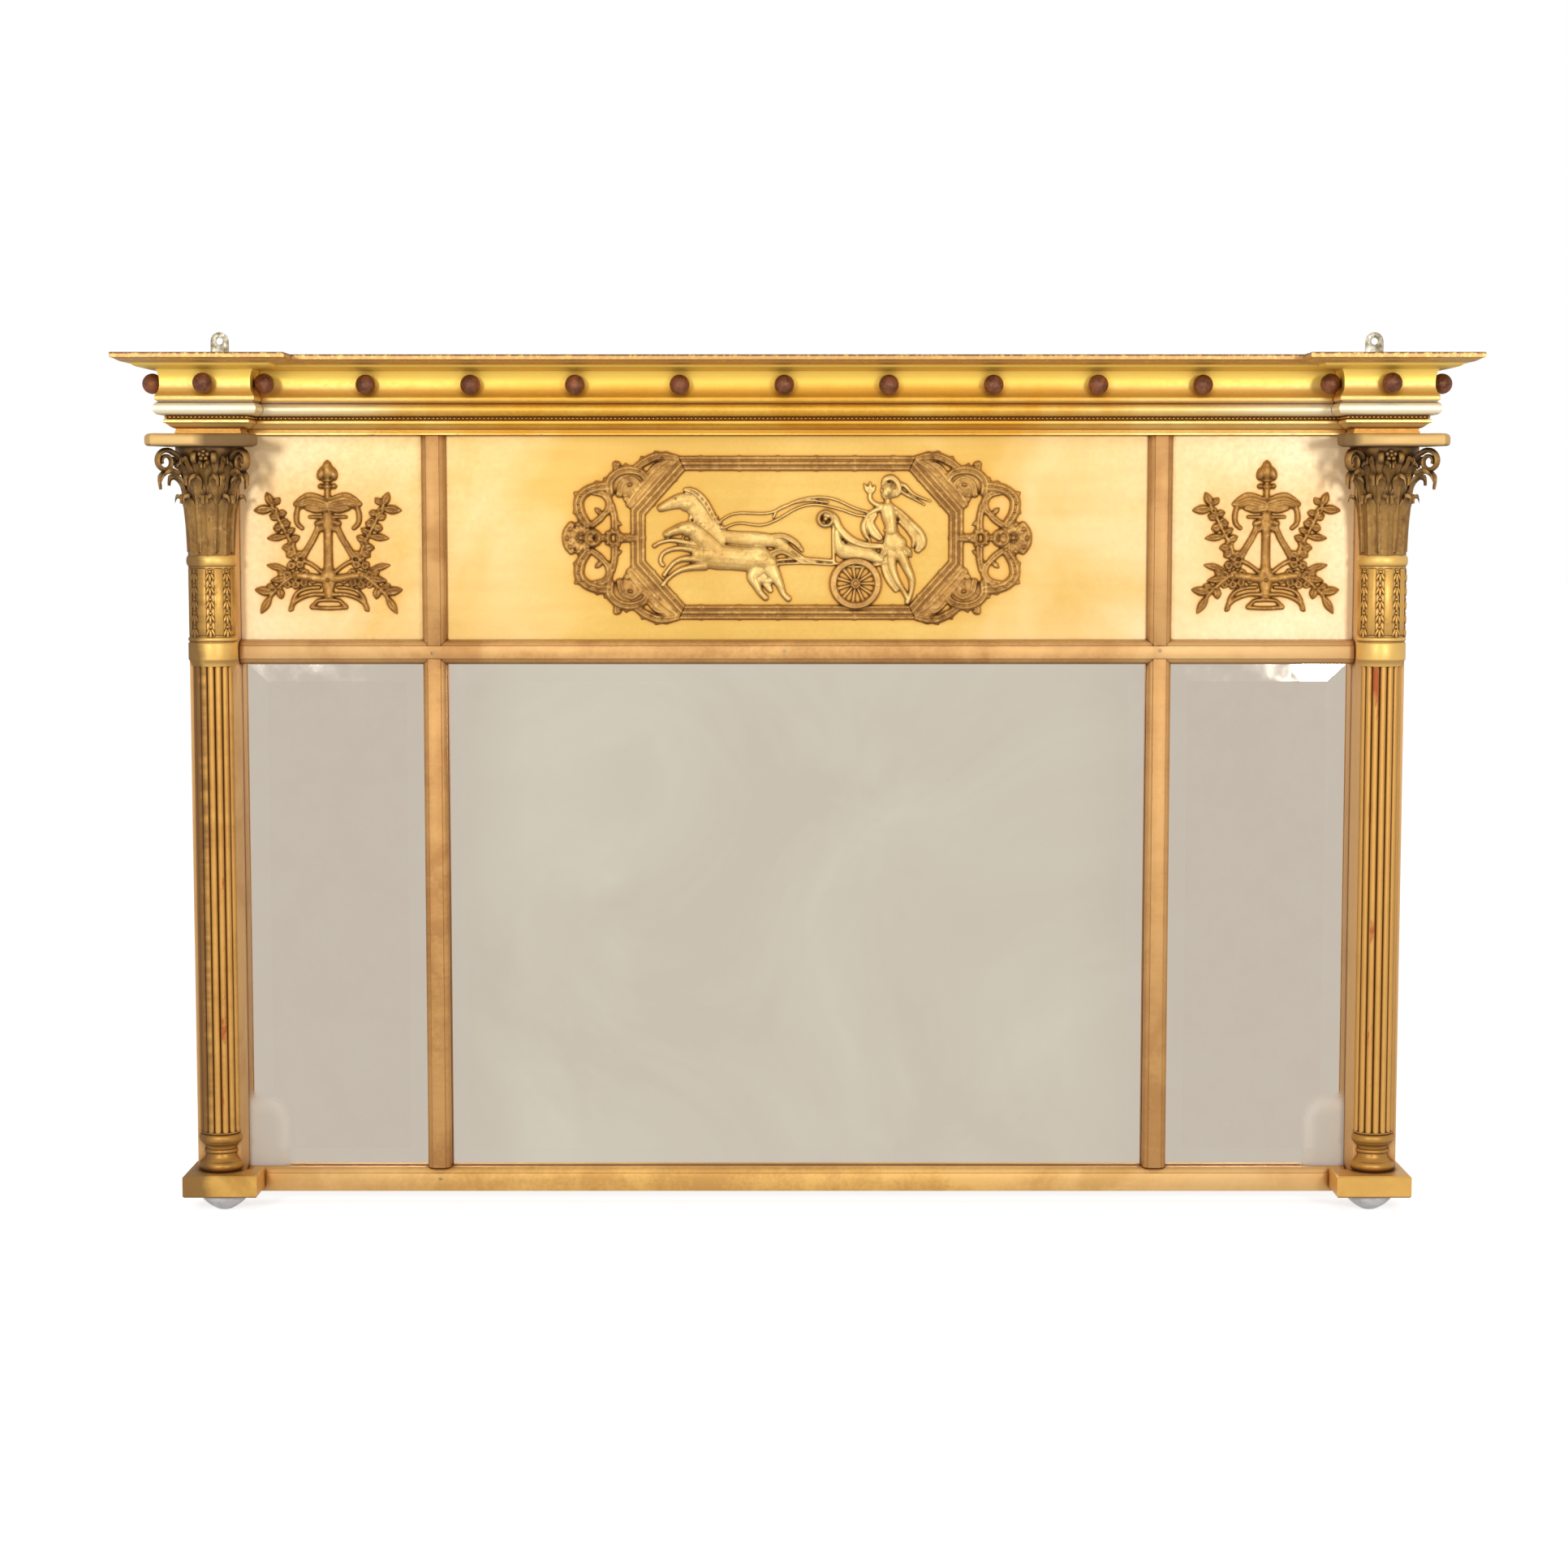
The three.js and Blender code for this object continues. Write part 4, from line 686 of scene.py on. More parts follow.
def rosette(bm, x, z, radius, petals, height, eye=0.3):
    for i in range(petals):
        angle = 2 * math.pi * (i + 0.5) / petals
        tip = (x + radius * math.cos(angle), z + radius * math.sin(angle))
        foot = (x + radius * 0.2 * math.cos(angle), z + radius * 0.2 * math.sin(angle))
        leafShape(bm, foot, tip, radius * math.sin(math.pi / petals) * 0.85, height * 0.85, 0.3)
    mound(bm, x, z, radius * eye, radius * eye, height * 1.2)


def reliefPiece(name, bm, place, node, slotName="worn_gilt", voxel=0.7, skin="scroll_gold"):
    bm = remeshed(bm, voxel)
    bmesh.ops.translate(bm, verts=bm.verts, vec=(place[0], panelFront, place[1]))
    bmesh.ops.recalc_face_normals(bm, faces=bm.faces)
    bmesh.ops.triangle_fill(bm, edges=cutAcross(bm, panelFront), use_beauty=True, normal=(0, 1, 0))
    finish(name, bm, slotName, [node], sharp=55, skin=skin)


# the inner edges of the stiles slope back to the side bays: places across and in depth
stile = {
    "inside": 610, "slopeFrom": -31, "front": -40, "frontOpen": 4.5, "middle": -20, "middleOpen": 0.8,
    "reached": 600, "fit": 0.1,  # what ends beyond this runs on to the stile
}


def openStile(bm):
    geometry = bm.verts[:] + bm.edges[:] + bm.faces[:]
    bmesh.ops.bisect_plane(bm, geom=geometry, plane_co=(0, stile["slopeFrom"], 0), plane_no=(0, 1, 0))
    for vert in bm.verts:
        if abs(vert.co.x) < stile["inside"]:
            reach = sideSight
            if vert.co.y < stile["front"]:
                reach += stile["frontOpen"]
            elif vert.co.y < stile["middle"]:
                reach += stile["middleOpen"]
            vert.co.x = math.copysign(reach, vert.co.x)
    bmesh.ops.remove_doubles(bm, verts=bm.verts, dist=0.01)


def reachStile(bm):  # rails, plates and boards run out to meet it
    for vert in bm.verts:
        if abs(vert.co.x) > stile["reached"]:
            vert.co.x = math.copysign(sideSight - stile["fit"], vert.co.x)


def dressedCopy(node, slotName, edge, skin=None, sharp=35):  # the frame's own solid, smoothed and eased
    bm = bmesh.new()
    bm.from_mesh(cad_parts[node].data)
    bmesh.ops.scale(bm, vec=(1 / mm, 1 / mm, 1 / mm), verts=bm.verts)
    bmesh.ops.remove_doubles(bm, verts=bm.verts, dist=0.005)
    bmesh.ops.dissolve_limit(bm, angle_limit=math.radians(0.5), verts=bm.verts, edges=bm.edges)
    if "stile" in node:
        openStile(bm)
    elif "plinth" not in node and "hanging" not in node and node != "top_rail":
        reachStile(bm)
    if edge:
        hard = [e for e in bm.edges if e.is_manifold and e.calc_face_angle(0) > math.radians(50)]
        bmesh.ops.bevel(bm, geom=hard, offset=edge, offset_type="OFFSET", segments=2, profile=0.5,
                        affect="EDGES", clamp_overlap=True, material=-1)
    finish(node + "_dressed", bm, slotName, [node], sharp=sharp, recalc=False, skin=skin)


carcass = [  # nodes, slot, rounding of the edges, look, sharp angle
    (["bottom_rail"], "worn_gilt", 0.6, "lit_sill_gold", 35),
    (["middle_rail"], "bright_gilt", 0.5, "rail_gold", 35),
    (["mullion_left", "mullion_right"], "bright_gilt", 0.5, "mullion_gold", 35),
    (["stile_left", "stile_right"], "worn_gilt", 0.8, "rail_gold", 35),
    (["top_rail", "backboard_left", "backboard_centre", "backboard_right"], "bare_softwood", 0.5, None, 35),
    ([f"frieze_panel_{bay}" for bay in ("left", "centre", "right")], "pale_gilt", 0, "panel_gold", 35),
    ([f"mirror_plate_{bay}" for bay in ("left", "centre", "right")], "silvered_glass", 0, None, 1),
    (["hanging_plate_left", "hanging_plate_right"], "aged_brass", 0.3, None, 35),
    (["plinth_left", "plinth_right"], "bright_gilt", 0, "base_gold", 35),
]
for nodes, slotName, edge, skin, sharp in carcass:
    for node in nodes:
        dressedCopy(node, slotName, edge, skin, sharp)
print("carcass dressed")

cornice = {
    "breakHalf": 35.5, "breakFront": 78.5, "centreFront": 32.5, "fit": 0.3,
    "plateHalf": 10.1, "plateDeep": 2.8,  # notches for the hanging plates
}


def lowerProfile():  # distance out from the bed, height
    run = [(0, 824), (0, 826.6), (-1, 827), (-1, 829.6), (0.6, 830)]
    run += bend((1.4, 830.2), (3.6, 831.4), (6, 833.4), (8.2, 835))
    run += [(9.8, 835.4), (10.4, 836), (10.4, 838.6), (9.8, 839.2), (6.6, 839.4), (6.2, 839.8), (6.2, 843.4)]
    run += [(6.8, 843.6), (12.8, 843.6)]
    run += arc((13, 850.6), (6.6, 7), -84, 80, 16)
    run += [(15.4, 857.8), (15.6, 858.8), (17.2, 859.2), (17.6, 859.8), (17.6, 863.4)]
    return run + bend((17.4, 864), (14.8, 868), (13.3, 872.6), (13, 878), (13.4, 884), (14.8, 889.4),
                      (16.2, 892.4))


def crownProfile():
    run = bend((17, 892.4), (24, 892.6), (31, 893.4), (36, 895.2), (38.2, 897.4))
    run += bend((38.8, 897.9), (43, 898), (47.2, 898.8), (50.6, 900.4), (53.6, 902), (55.8, 902.5))
    return run + [(56.5, 902.8), (56.5, 907.2), (55.8, 908)]


def moulding(name, rings, node):
    bm = bmesh.new()
    stackRings(bm, rings)
    finish(name, bm, "bright_gilt", [node], skin="cornice_gold")


def makeCornice():
    half, front, centre = cornice["breakHalf"], cornice["breakFront"], cornice["centreFront"]
    railBack = boxOf("top_rail")[0].y
    stileLow, stileHigh = boxOf("stile_right")
    for label, side in sides.items():
        rings = []
        for out, z in lowerProfile():
            outer, inner = columnX + half + out, columnX - half - out
            plan = [(outer, 0), (outer, -front - out), (inner, -front - out), (inner, railBack),
                    (stileLow.x, railBack), (stileLow.x, stileLow.y), (stileHigh.x, stileLow.y),
                    (stileHigh.x, 0)]
            rings.append([(side * x, y, z) for x, y in plan])
        moulding(f"cornice_return_{label}", rings, f"cornice_break_{label}")
    rings = []
    for out, z in lowerProfile():
        x, y = columnX - half - out - cornice["fit"], -centre - out
        rings.append([(-x, railBack, z), (-x, y, z), (x, y, z), (x, railBack, z)])
    moulding("cornice_run", rings, "cornice_moulding_centre")

    rings = []
    plateOut, plateIn = columnX + cornice["plateHalf"], columnX - cornice["plateHalf"]
    for out, z in crownProfile():
        outer, inner = columnX + half + out, columnX - half - out
        plan = [(inner, -centre - out), (inner, -front - out), (outer, -front - out), (outer, 0),
                (plateOut, 0), (plateOut, -cornice["plateDeep"]), (plateIn, -cornice["plateDeep"]),
                (plateIn, 0)]
        rings.append([(x, y, z) for x, y in plan] + [(-x, y, z) for x, y in reversed(plan)])
    moulding("cornice_cap", rings, "cornice_crown")


def makeBalls():
    for number in range(1, 16):
        node = f"ball_{number:02d}"
        low, high = boxOf(node)
        bm = bmesh.new()
        egg(bm, (low + high) / 2, [(high.z - low.z) / 2] * 3, around=28, high=18)
        finish(f"turned_{node}", bm, "bronzed_ball", [node], sharp=80)


makeCornice()
makeBalls()
print("cornice made")

column = {"shaft": 22.8, "reeds": 16, "reedCells": 9}


def halfTurned(kind, profile, label, side, skin):  # turned whole, then cut along the stile
    node = f"column_{kind}_{label}"
    bm = bmesh.new()
    spun(bm, profile, 64, (side * columnLine, columnAxis, boxOf(node)[0].z))
    flatBack(bm)
    finish(f"turned_{kind}_{label}", bm, "bright_gilt", [node], skin=skin)


def baseProfile():
    run = [(0, 0), (21.5, 0)]
    run += arc((20.6, 5.6), (4.4, 5.4), -75, 70, 9)
    run += bend((21.4, 11), (18.2, 15), (17, 19.6))
    run += arc((17, 22.2), (2.0, 2.4), -80, 80, 6)
    run += bend((17.1, 24.8), (17.8, 27.6), (20.4, 30.4), (21.6, 31))
    run += arc((19.8, 36.6), (4.3, 5.4), -62, 75, 10)
    return run + [(20.6, 42.2), (22.6, 42.6), (22.8, 44), (0, 44)]


def drumProfile():
    run = [(0, 0), (22.8, 0)]
    run += bend((23, 0.6), (24.2, 3.4), (26.4, 6.4), steps=3)
    run += [(27, 7.2), (27.2, 8.2), (27.2, 24.4), (26.8, 25.6), (25.8, 26.4)]
    run += arc((25.4, 29.4), (1.8, 2.4), -80, 80, 6)
    run += [(25.3, 32.6), (25.3, 106.6), (25.5, 107.6)]
    run += arc((24.8, 114.6), (3.2, 6.4), -80, 80, 12)
    return run + [(24.8, 121.4), (24.2, 122.4), (24, 124), (0, 124)]


def reedRing(z):  # the reeded outline of a shaft
    half = math.pi / column["reeds"]
    centre = column["shaft"] / (1 + math.sin(half))
    reed = column["shaft"] - centre
    ring = []
    for i in range(column["reeds"]):
        turn = 2 * half * i
        for k in range(column["reedCells"]):
            angle = -math.pi / 2 - half + (math.pi + 2 * half) * k / column["reedCells"]
            x, y = centre + reed * math.cos(angle), reed * math.sin(angle)
            ring.append((x * math.cos(turn) - y * math.sin(turn), x * math.sin(turn) + y * math.cos(turn), z))
    return ring


def makeShaft(label, side):
    low, high = boxOf(f"column_shaft_{label}")
    bm = bmesh.new()
    stackRings(bm, [reedRing(low.z), reedRing(high.z)])
    bmesh.ops.translate(bm, verts=bm.verts, vec=(side * columnLine, columnAxis, 0))
    flatBack(bm)
    finish(f"reeded_shaft_{label}", bm, "worn_gilt", [f"column_shaft_{label}"], sharp=60, skin="column_gold")


for label, side in sides.items():
    halfTurned("base", baseProfile(), label, side, "foot_gold")
    halfTurned("drum", drumProfile(), label, side, "drum_gold")
    makeShaft(label, side)
print("columns made")

# husk chains on the drums: heights over the drum's foot, and angles round it
husks = {
    "chains": {"left": 4, "right": -14}, "step": 42, "widest": 78, "rows": 5, "pitch": 15.0, "top": 98,
    "radius": 25.4, "stripHalf": 10.5, "stripOut": 26.7, "stripIn": 24, "stripLow": 34, "stripHigh": 106.5,
}


def radial(angle):  # the ways out and across at an angle round a column
    turn = math.radians(angle)
    return Vector((math.sin(turn), -math.cos(turn), 0)), Vector((math.cos(turn), math.sin(turn), 0))


def huskPart(bm, centre, angle, height, sizes, aside=0, tilt=0):
    out, across = radial(angle)
    place = centre + out * husks["radius"] + across * aside + Vector((0, 0, height))
    egg(bm, place, sizes, [(tilt, "Y"), (angle, "Z")], 10, 6)


def makeStrip(bm, centre, middle):  # a smooth raised strip between two chains
    turns = [middle + husks["stripHalf"] * (i / 4 - 1) for i in range(9)]
    low, high = husks["stripLow"], husks["stripHigh"]
    rings = []
    for height, inset in ((low, 0.6), (low + 0.8, 0), (high - 0.8, 0), (high, 0.6)):
        lift = centre + Vector((0, 0, height))
        rings.append([lift + radial(turn)[0] * (husks["stripOut"] - inset - 0.5 * abs(i / 4 - 1) ** 6)
                      for i, turn in enumerate(turns)]
                     + [lift + radial(turn)[0] * husks["stripIn"] for turn in reversed(turns)])
    stackRings(bm, rings)


def makeHusks(label, side):
    bm = bmesh.new()
    centre = Vector((side * columnLine, columnAxis, boxOf(f"column_drum_{label}")[0].z))
    for k in range(-2, 3):
        angle = husks["chains"][label] + husks["step"] * k
        if abs(angle) < husks["widest"]:
            for row in range(husks["rows"]):
                height = husks["top"] - row * husks["pitch"]
                huskPart(bm, centre, angle, height + 5, (2.1, 1.9, 1.9))
                huskPart(bm, centre, angle, height - 2.6, (1.9, 2.3, 5.6))
                for half in (-1, 1):
                    huskPart(bm, centre, angle, height - 0.6, (1.7, 1.9, 4.9), half * 2.8, -22 * half)
            huskPart(bm, centre, angle, 105.4, (3.4, 1.6, 1.1))
        middle = angle + husks["step"] / 2
        if abs(middle) < husks["widest"] + 2:
            makeStrip(bm, centre, middle)
    flatBack(bm)
    finish(f"husk_chains_{label}", bm, "bright_gilt", [], sharp=60, skin="base_gold")


def carvedLeaf(bm, angle, axis, route, lobes, rib, cells):
    # the route is [radius, height, half width] from the foot to the curled tip
    form = bmesh.new()
    run = curvePoints(route, 6)
    out, across = radial(angle)
    bmesh.ops.create_grid(form, x_segments=cells[0], y_segments=cells[1], size=1)
    for vert in form.verts:
        u, v = vert.co.x, (vert.co.y + 1) / 2
        spot = v * (len(run) - 1)
        i = min(int(spot), len(run) - 2)
        at = run[i].lerp(run[i + 1], spot - i)
        along = run[i + 1] - run[i]
        along.z = 0
        along.normalize()
        notch = 1 - 0.3 * abs(u) ** 3 * math.sin(math.pi * lobes * v) ** 2
        s = u * at.z * notch
        swell = rib * math.exp(-((u / 0.16) ** 2)) + 0.45 * rib * math.cos(3 * math.pi * u) ** 2 - 1.4 * u * u
        reach = at.x + along.y * swell - s * s / (2 * max(at.x, 12)) * (1 - 0.8 * v)
        vert.co = axis + out * reach + across * s + Vector((0, 0, at.y - along.x * swell))
    bmesh.ops.solidify(form, geom=form.faces[:], thickness=capital["leafThick"])
    bmesh.ops.recalc_face_normals(form, faces=form.faces)
    handOver(form, bm)


def band(bm, angle, axis, route, halfWide, halfThick):
    # a rounded strip bent along [radius, height, share of its size]
    out, across = radial(angle)
    turns = [2 * math.pi * k / 10 for k in range(10)]
    loops = []
    for i, at in enumerate(route):
        along = route[min(i + 1, len(route) - 1)] - route[max(i - 1, 0)]
        along.z = 0
        along.normalize()
        normal = out * along.y - Vector((0, 0, along.x))
        middle = axis + out * at.x + Vector((0, 0, at.y))
        loops.append([middle + across * halfWide * at.z * math.cos(turn)
                      + normal * halfThick * at.z * math.sin(turn) for turn in turns])
    stackRings(bm, loops)


def voluteRoute(stalk, centre, radius, inner, turns, start):
    route = curvePoints(stalk, 4)[:-1]
    steps = int(turns * 22)
    for i in range(steps + 1):
        t = math.radians(start - 360 * turns * i / steps)
        r = radius * (inner / radius) ** (i / steps)
        route.append(Vector((centre[0] + r * math.cos(t), centre[1] + r * math.sin(t), 1 - 0.35 * i / steps)))
    return route


capital = {
    "leafThick": 3.8, "flower": 104, "flowerOut": 41, "petals": 5,
    "leaves": [  # angles, route, lobes, rib, cells
        ((-88, -44, 0, 44, 88), [(25.8, 0, 9), (26.6, 18, 9.4), (27.8, 36, 9.6), (29.4, 50, 9.4),
                                 (32.6, 60, 8.4), (36.6, 61.5, 6.2), (38, 56, 2.8)], 4, 1.0, (10, 24)),
        ((-66, -22, 22, 66), [(25.6, 4, 3.4), (26.6, 30, 6.4), (28.2, 48, 8.8), (29.6, 63, 9.6),
                              (32.4, 76, 9.2), (39, 83.5, 8.2), (44.8, 82, 6.2), (46.2, 75.5, 2.8)],
         5, 1.4, (10, 24)),
        # small leaves behind, that carry the volutes, and stalks between the leaves
        ((-90, -44, 0, 44, 90), [(26.4, 62, 5), (29, 76, 7), (34, 90, 7.2), (40.6, 97.5, 5.8), (45, 94, 2.4)],
         4, 1.2, (8, 16)),
        ((-58, -32, 32, 58), [(28, 66, 3), (31, 82, 4), (36, 95, 4.4), (42, 102, 3.6), (46, 99, 1.6)],
         3, 0.9, (6, 14)),
    ],
    "underVolute": [(42, 86, 4), (52, 89.5, 6), (60, 86, 6), (64.5, 79, 4.6), (64, 71, 2)],
    "outerStalk": [(26, 60, 0.7), (30, 80, 0.8), (38, 97, 0.9), (46.6, 107.6, 1)],
    "innerStalk": [(26, 64, 0.8), (28.5, 82, 0.9), (32, 96, 1)],
}


def makeCapital(label, side):
    axis = Vector((side * columnLine, columnAxis, boxOf(f"capital_{label}")[0].z))
    bm = bmesh.new()
    bell = [(0, 0), (25, 0)] + bend((25, 1), (26, 30), (27.8, 56), (30.4, 80), (34, 98), (37.5, 108))
    spun(bm, bell + [(37.8, 110), (37.8, 113.5), (0, 113.5)], 48, axis)
    for angles, route, lobes, rib, cells in capital["leaves"]:
        for angle in angles:
            carvedLeaf(bm, angle, axis, route, lobes, rib, cells)
    outer = voluteRoute(capital["outerStalk"], (57.5, 97.2), 13.4, 4.8, 1.45, 135)
    for angle in (-45, 45):
        band(bm, angle, axis, outer, 4.8, 2.9)
        carvedLeaf(bm, angle, axis, capital["underVolute"], 3, 1.0, (8, 14))
    inner = voluteRoute(capital["innerStalk"], (38.4, 100.5), 7.6, 2.4, 1.3, 155)
    for angle in (-15, 15):
        band(bm, angle, axis, inner, 3.6, 1.9)
    for k in range(capital["petals"]):  # flower under the abacus
        turn = math.radians(90 + 360 / capital["petals"] * k)
        at = (4.2 * math.cos(turn), -capital["flowerOut"], capital["flower"] + 4.2 * math.sin(turn))
        egg(bm, axis + Vector(at), (2.7, 2.4, 2.7), around=10, high=6)
    egg(bm, axis + Vector((0, -capital["flowerOut"] - 2, capital["flower"])), (2, 2, 2), around=10, high=6)
    flatBack(bm)
    finish(f"leaf_capital_{label}", bm, "dark_gilt", [f"capital_{label}"], sharp=50, skin="capital_gold")


abacus = {
    "reach": 60.5, "hollow": 24, "horn": 7, "cells": 16,
    "levels": [(0, 3.4), (0.5, 1.8), (1.6, 0.6), (3.4, 0.1), (6.4, 0), (9, 0.1), (11, 0.7), (12.4, 1.9),
               (13.1, 3.2), (13.5, 5)],  # height, drawn in by
}


def makeAbacus(label, side):
    low = boxOf(f"abacus_{label}")[0].z
    reach = abacus["reach"]
    quarter = []
    for k in range(abacus["cells"] + 1):  # one hollow side, from horn to horn
        t = k / abacus["cells"]
        quarter.append(((reach - abacus["horn"]) * (2 * t - 1), -reach + abacus["hollow"] * 2 * t * (1 - t)))
    plan = []
    for c, n in ((1, 0), (0, 1), (-1, 0), (0, -1)):
        plan += [(x * c - y * n, x * n + y * c) for x, y in quarter]
    loops = []
    for height, inset in abacus["levels"]:
        share = 1 - inset / reach
        loops.append([(side * columnLine + x * share, columnAxis + y * share, low + height) for x, y in plan])
    bm = bmesh.new()
    stackRings(bm, loops)
    flatBack(bm)
    finish(f"hollowed_abacus_{label}", bm, "worn_gilt", [f"abacus_{label}"], sharp=35, skin="abacus_gold")


def makePad(label):
    low, high = boxOf(f"foot_pad_{label}")
    run = [(0, 0)] + bend((3, 0.1), (8, 1.2), (14, 4.4), (20, 8.8), (24.4, 13.4), (25.6, 17))
    bm = bmesh.new()
    middle = ((low.x + high.x) / 2, (low.y + high.y) / 2, low.z)
    spun(bm, run + [(25.2, 18.6), (24.4, 19), (0, 19)], 56, middle)
    finish(f"domed_pad_{label}", bm, "pale_plastic", [f"foot_pad_{label}"], sharp=60)


for label, side in sides.items():
    makeHusks(label, side)
    makeCapital(label, side)
    makeAbacus(label, side)
    makePad(label)
print("capitals made")

beads = {"radius": 1.75, "pitch": 4.6, "z": 841.5, "out": 7.6}  # small beads under the torus


def beadRow(bm, start, end):
    start, end = Vector(start), Vector(end)
    count = max(2, round((end - start).length / beads["pitch"]))
    for i in range(count + 1):
        egg(bm, start.lerp(end, i / count), [beads["radius"]] * 3, around=8, high=5)


def makeBeads():
    z, out = beads["z"], beads["out"]
    half, front = cornice["breakHalf"] + out, -cornice["breakFront"] - out
    centre = -cornice["centreFront"] - out
    bm = bmesh.new()
    inner = columnX - half - cornice["fit"] - beads["radius"]
    beadRow(bm, (-inner, centre, z), (inner, centre, z))
    for side in (-1, 1):
        near, far = side * (columnX - half), side * (columnX + half)
        beadRow(bm, (near, front, z), (far, front, z))
        beadRow(bm, (near, front + beads["pitch"], z), (near, centre - 3, z))
        beadRow(bm, (far, front + beads["pitch"], z), (far, -3, z))
    finish("cornice_beads", bm, "bright_gilt", [], sharp=80, skin="cornice_gold")


pins = {"radius": 1.7, "out": 0.765, "places": [(-400, 586), (-14, 589), (398, 589), (-397, 1)]}


def makePins():
    face = boxOf("middle_rail")[0].y
    bm = bmesh.new()
    for x, z in pins["places"]:
        egg(bm, (x, face, z), (pins["radius"], pins["out"], pins["radius"]), around=14, high=8)
    finish("rail_pins", bm, "aged_brass", [], sharp=80)


makeBeads()
makePins()
print("beads made")

# the octagonal border: its section is [share of the way across, height]
octagon = {
    "halfWidth": 182.5, "halfHeight": 89.5, "cutWidth": 52.5, "cutHeight": 58.5, "bar": 16,
    "section": [(0, -2.5), (0, 2.2), (0.06, 3.4), (0.15, 4), (0.24, 3.3), (0.3, 2), (0.36, 3.4), (0.44, 4.4),
                (0.5, 4.6), (0.56, 4.4), (0.64, 3.4), (0.7, 2), (0.76, 3.3), (0.85, 4), (0.94, 3.4), (1, 2.2),
                (1, -2.5)],
    "tiePitch": 40, "tieHalf": 1.5, "tieHeight": 6.0,
}


def octagonCorners():
    a, b = octagon["halfWidth"], octagon["halfHeight"]
    c, d = a - octagon["cutWidth"], b - octagon["cutHeight"]
    return [Vector(p) for p in ((c, b), (a, d), (a, -d), (c, -b), (-c, -b), (-a, -d), (-a, d), (-c, b))]


def mitre(corners, i):  # the outer and inner ends of a bar at a corner
    here, ahead = corners[i % len(corners)], corners[(i + 1) % len(corners)]
    before = (here - corners[(i - 1) % len(corners)]).normalized()
    after = (ahead - here).normalized()
    inward = Vector((before.y + after.y, -before.x - after.x)).normalized()
    return here, here + inward * (octagon["bar"] / math.cos(before.angle(after) / 2))


def borderBar(bm, first):  # a reeded bar from one corner to the next, mitred, with cross ties
    corners = octagonCorners()
    (outerA, innerA), (outerB, innerB) = mitre(corners, first), mitre(corners, first + 1)
    loops = []
    for outer, inner in ((outerA, innerA), (outerB, innerB)):
        loops.append([(outer.x + (inner.x - outer.x) * s, -t, outer.y + (inner.y - outer.y) * s)
                      for s, t in octagon["section"]])
    stackRings(bm, loops)
    start, end = (outerA + innerA) / 2, (outerB + innerB) / 2
    along = (end - start).normalized()
    across = Vector((-along.y, along.x)) * octagon["bar"] * 0.5
    ties = max(1, round((end - start).length / octagon["tiePitch"]))
    for i in range(ties):
        at = start + (end - start) * (i + 0.5) / ties
        raised(bm, [(spot.x, spot.y, octagon["tieHalf"]) for spot in (at - across, at, at + across)],
               octagon["tieHeight"], 0, 2)


# the scroll sprays: strokes of [x, z, half width] with their height
scrolls = {
    "side": [
        ([(179, 0, 4.4), (189, 0, 5), (197, 0, 4)], 6.5),
        ([(206, 0, 3.6), (219, 0, 4)], 6.5),
        ([(247, 15, 4), (252, 6, 5), (252, -6, 5), (247, -15, 4)], 6),
    ],
    "corner": [  # upper right quarter, turned over for the others
        ([(230, 15, 5), (237.5, 27, 5.6), (239, 41, 5.6), (231.5, 50.5, 5.6), (220, 55, 5.8),
          (206, 56.5, 6)], 7.5),
        ([(224, 49.5, 2.6), (212, 47.5, 3.8), (205.8, 40, 4.2), (207, 31, 4), (212.5, 25, 3)], 8.2),
        ([(203, 36, 3.4), (200.5, 22, 4), (200, 8, 4.2)], 6),
        ([(225, 14, 3.6), (216, 21, 3.8), (210, 28, 3)], 6),
        ([(205, 49, 5), (205, 62, 5.2), (195.5, 71.5, 5.4), (182, 74, 5.4), (169.5, 70, 4.8),
          (164, 61, 3.6)], 8),
        ([(195, 47, 4), (192, 59, 4.4), (182, 64.5, 4.2), (174, 59, 3.8), (178.5, 53, 3)], 8.8),
        ([(196.5, 70, 3), (198, 78, 3.8), (197.5, 80.5, 4.8)], 7),
        ([(183, 36.5, 5.5), (176.5, 45.5, 7), (166, 57.5, 7.4), (155.5, 69, 7.4), (145, 78.5, 7),
          (133, 86, 5.5)], 5.4),
        ([(177, 76, 4), (167, 83, 5), (155, 88.5, 4.8), (143, 89, 4.6), (131, 87, 3.6)], 7.5),
        ([(163, 70, 3), (155, 78, 3.6), (146, 82.5, 2.6)], 8.4),
    ],
    "leaves": [
        ((150, 88), (156, 95), 3.4), ((139, 88), (145, 94.5), 3.0), ((166, 81), (171, 89.5), 3.4),
        ((186, 73), (188, 82), 3.2), ((216, 56), (221, 62.5), 3.2), ((238, 46), (245, 50), 2.8),
        ((214, 26), (222, 33), 3.0), ((190, 47), (184, 38), 3.4), ((158, 68), (150, 74), 3.2),
        ((206, 60), (212, 66), 3.0), ((240, 30), (246, 27), 2.6), ((201, 18), (192, 14), 2.8),
    ],
    "pearls": [(234, 21), (238.5, 29), (240, 38), (236.5, 46.5), (228.5, 52.5), (218, 55.8), (182, 58.5),
               (160, 84), (148, 87), (172, 74)],
}


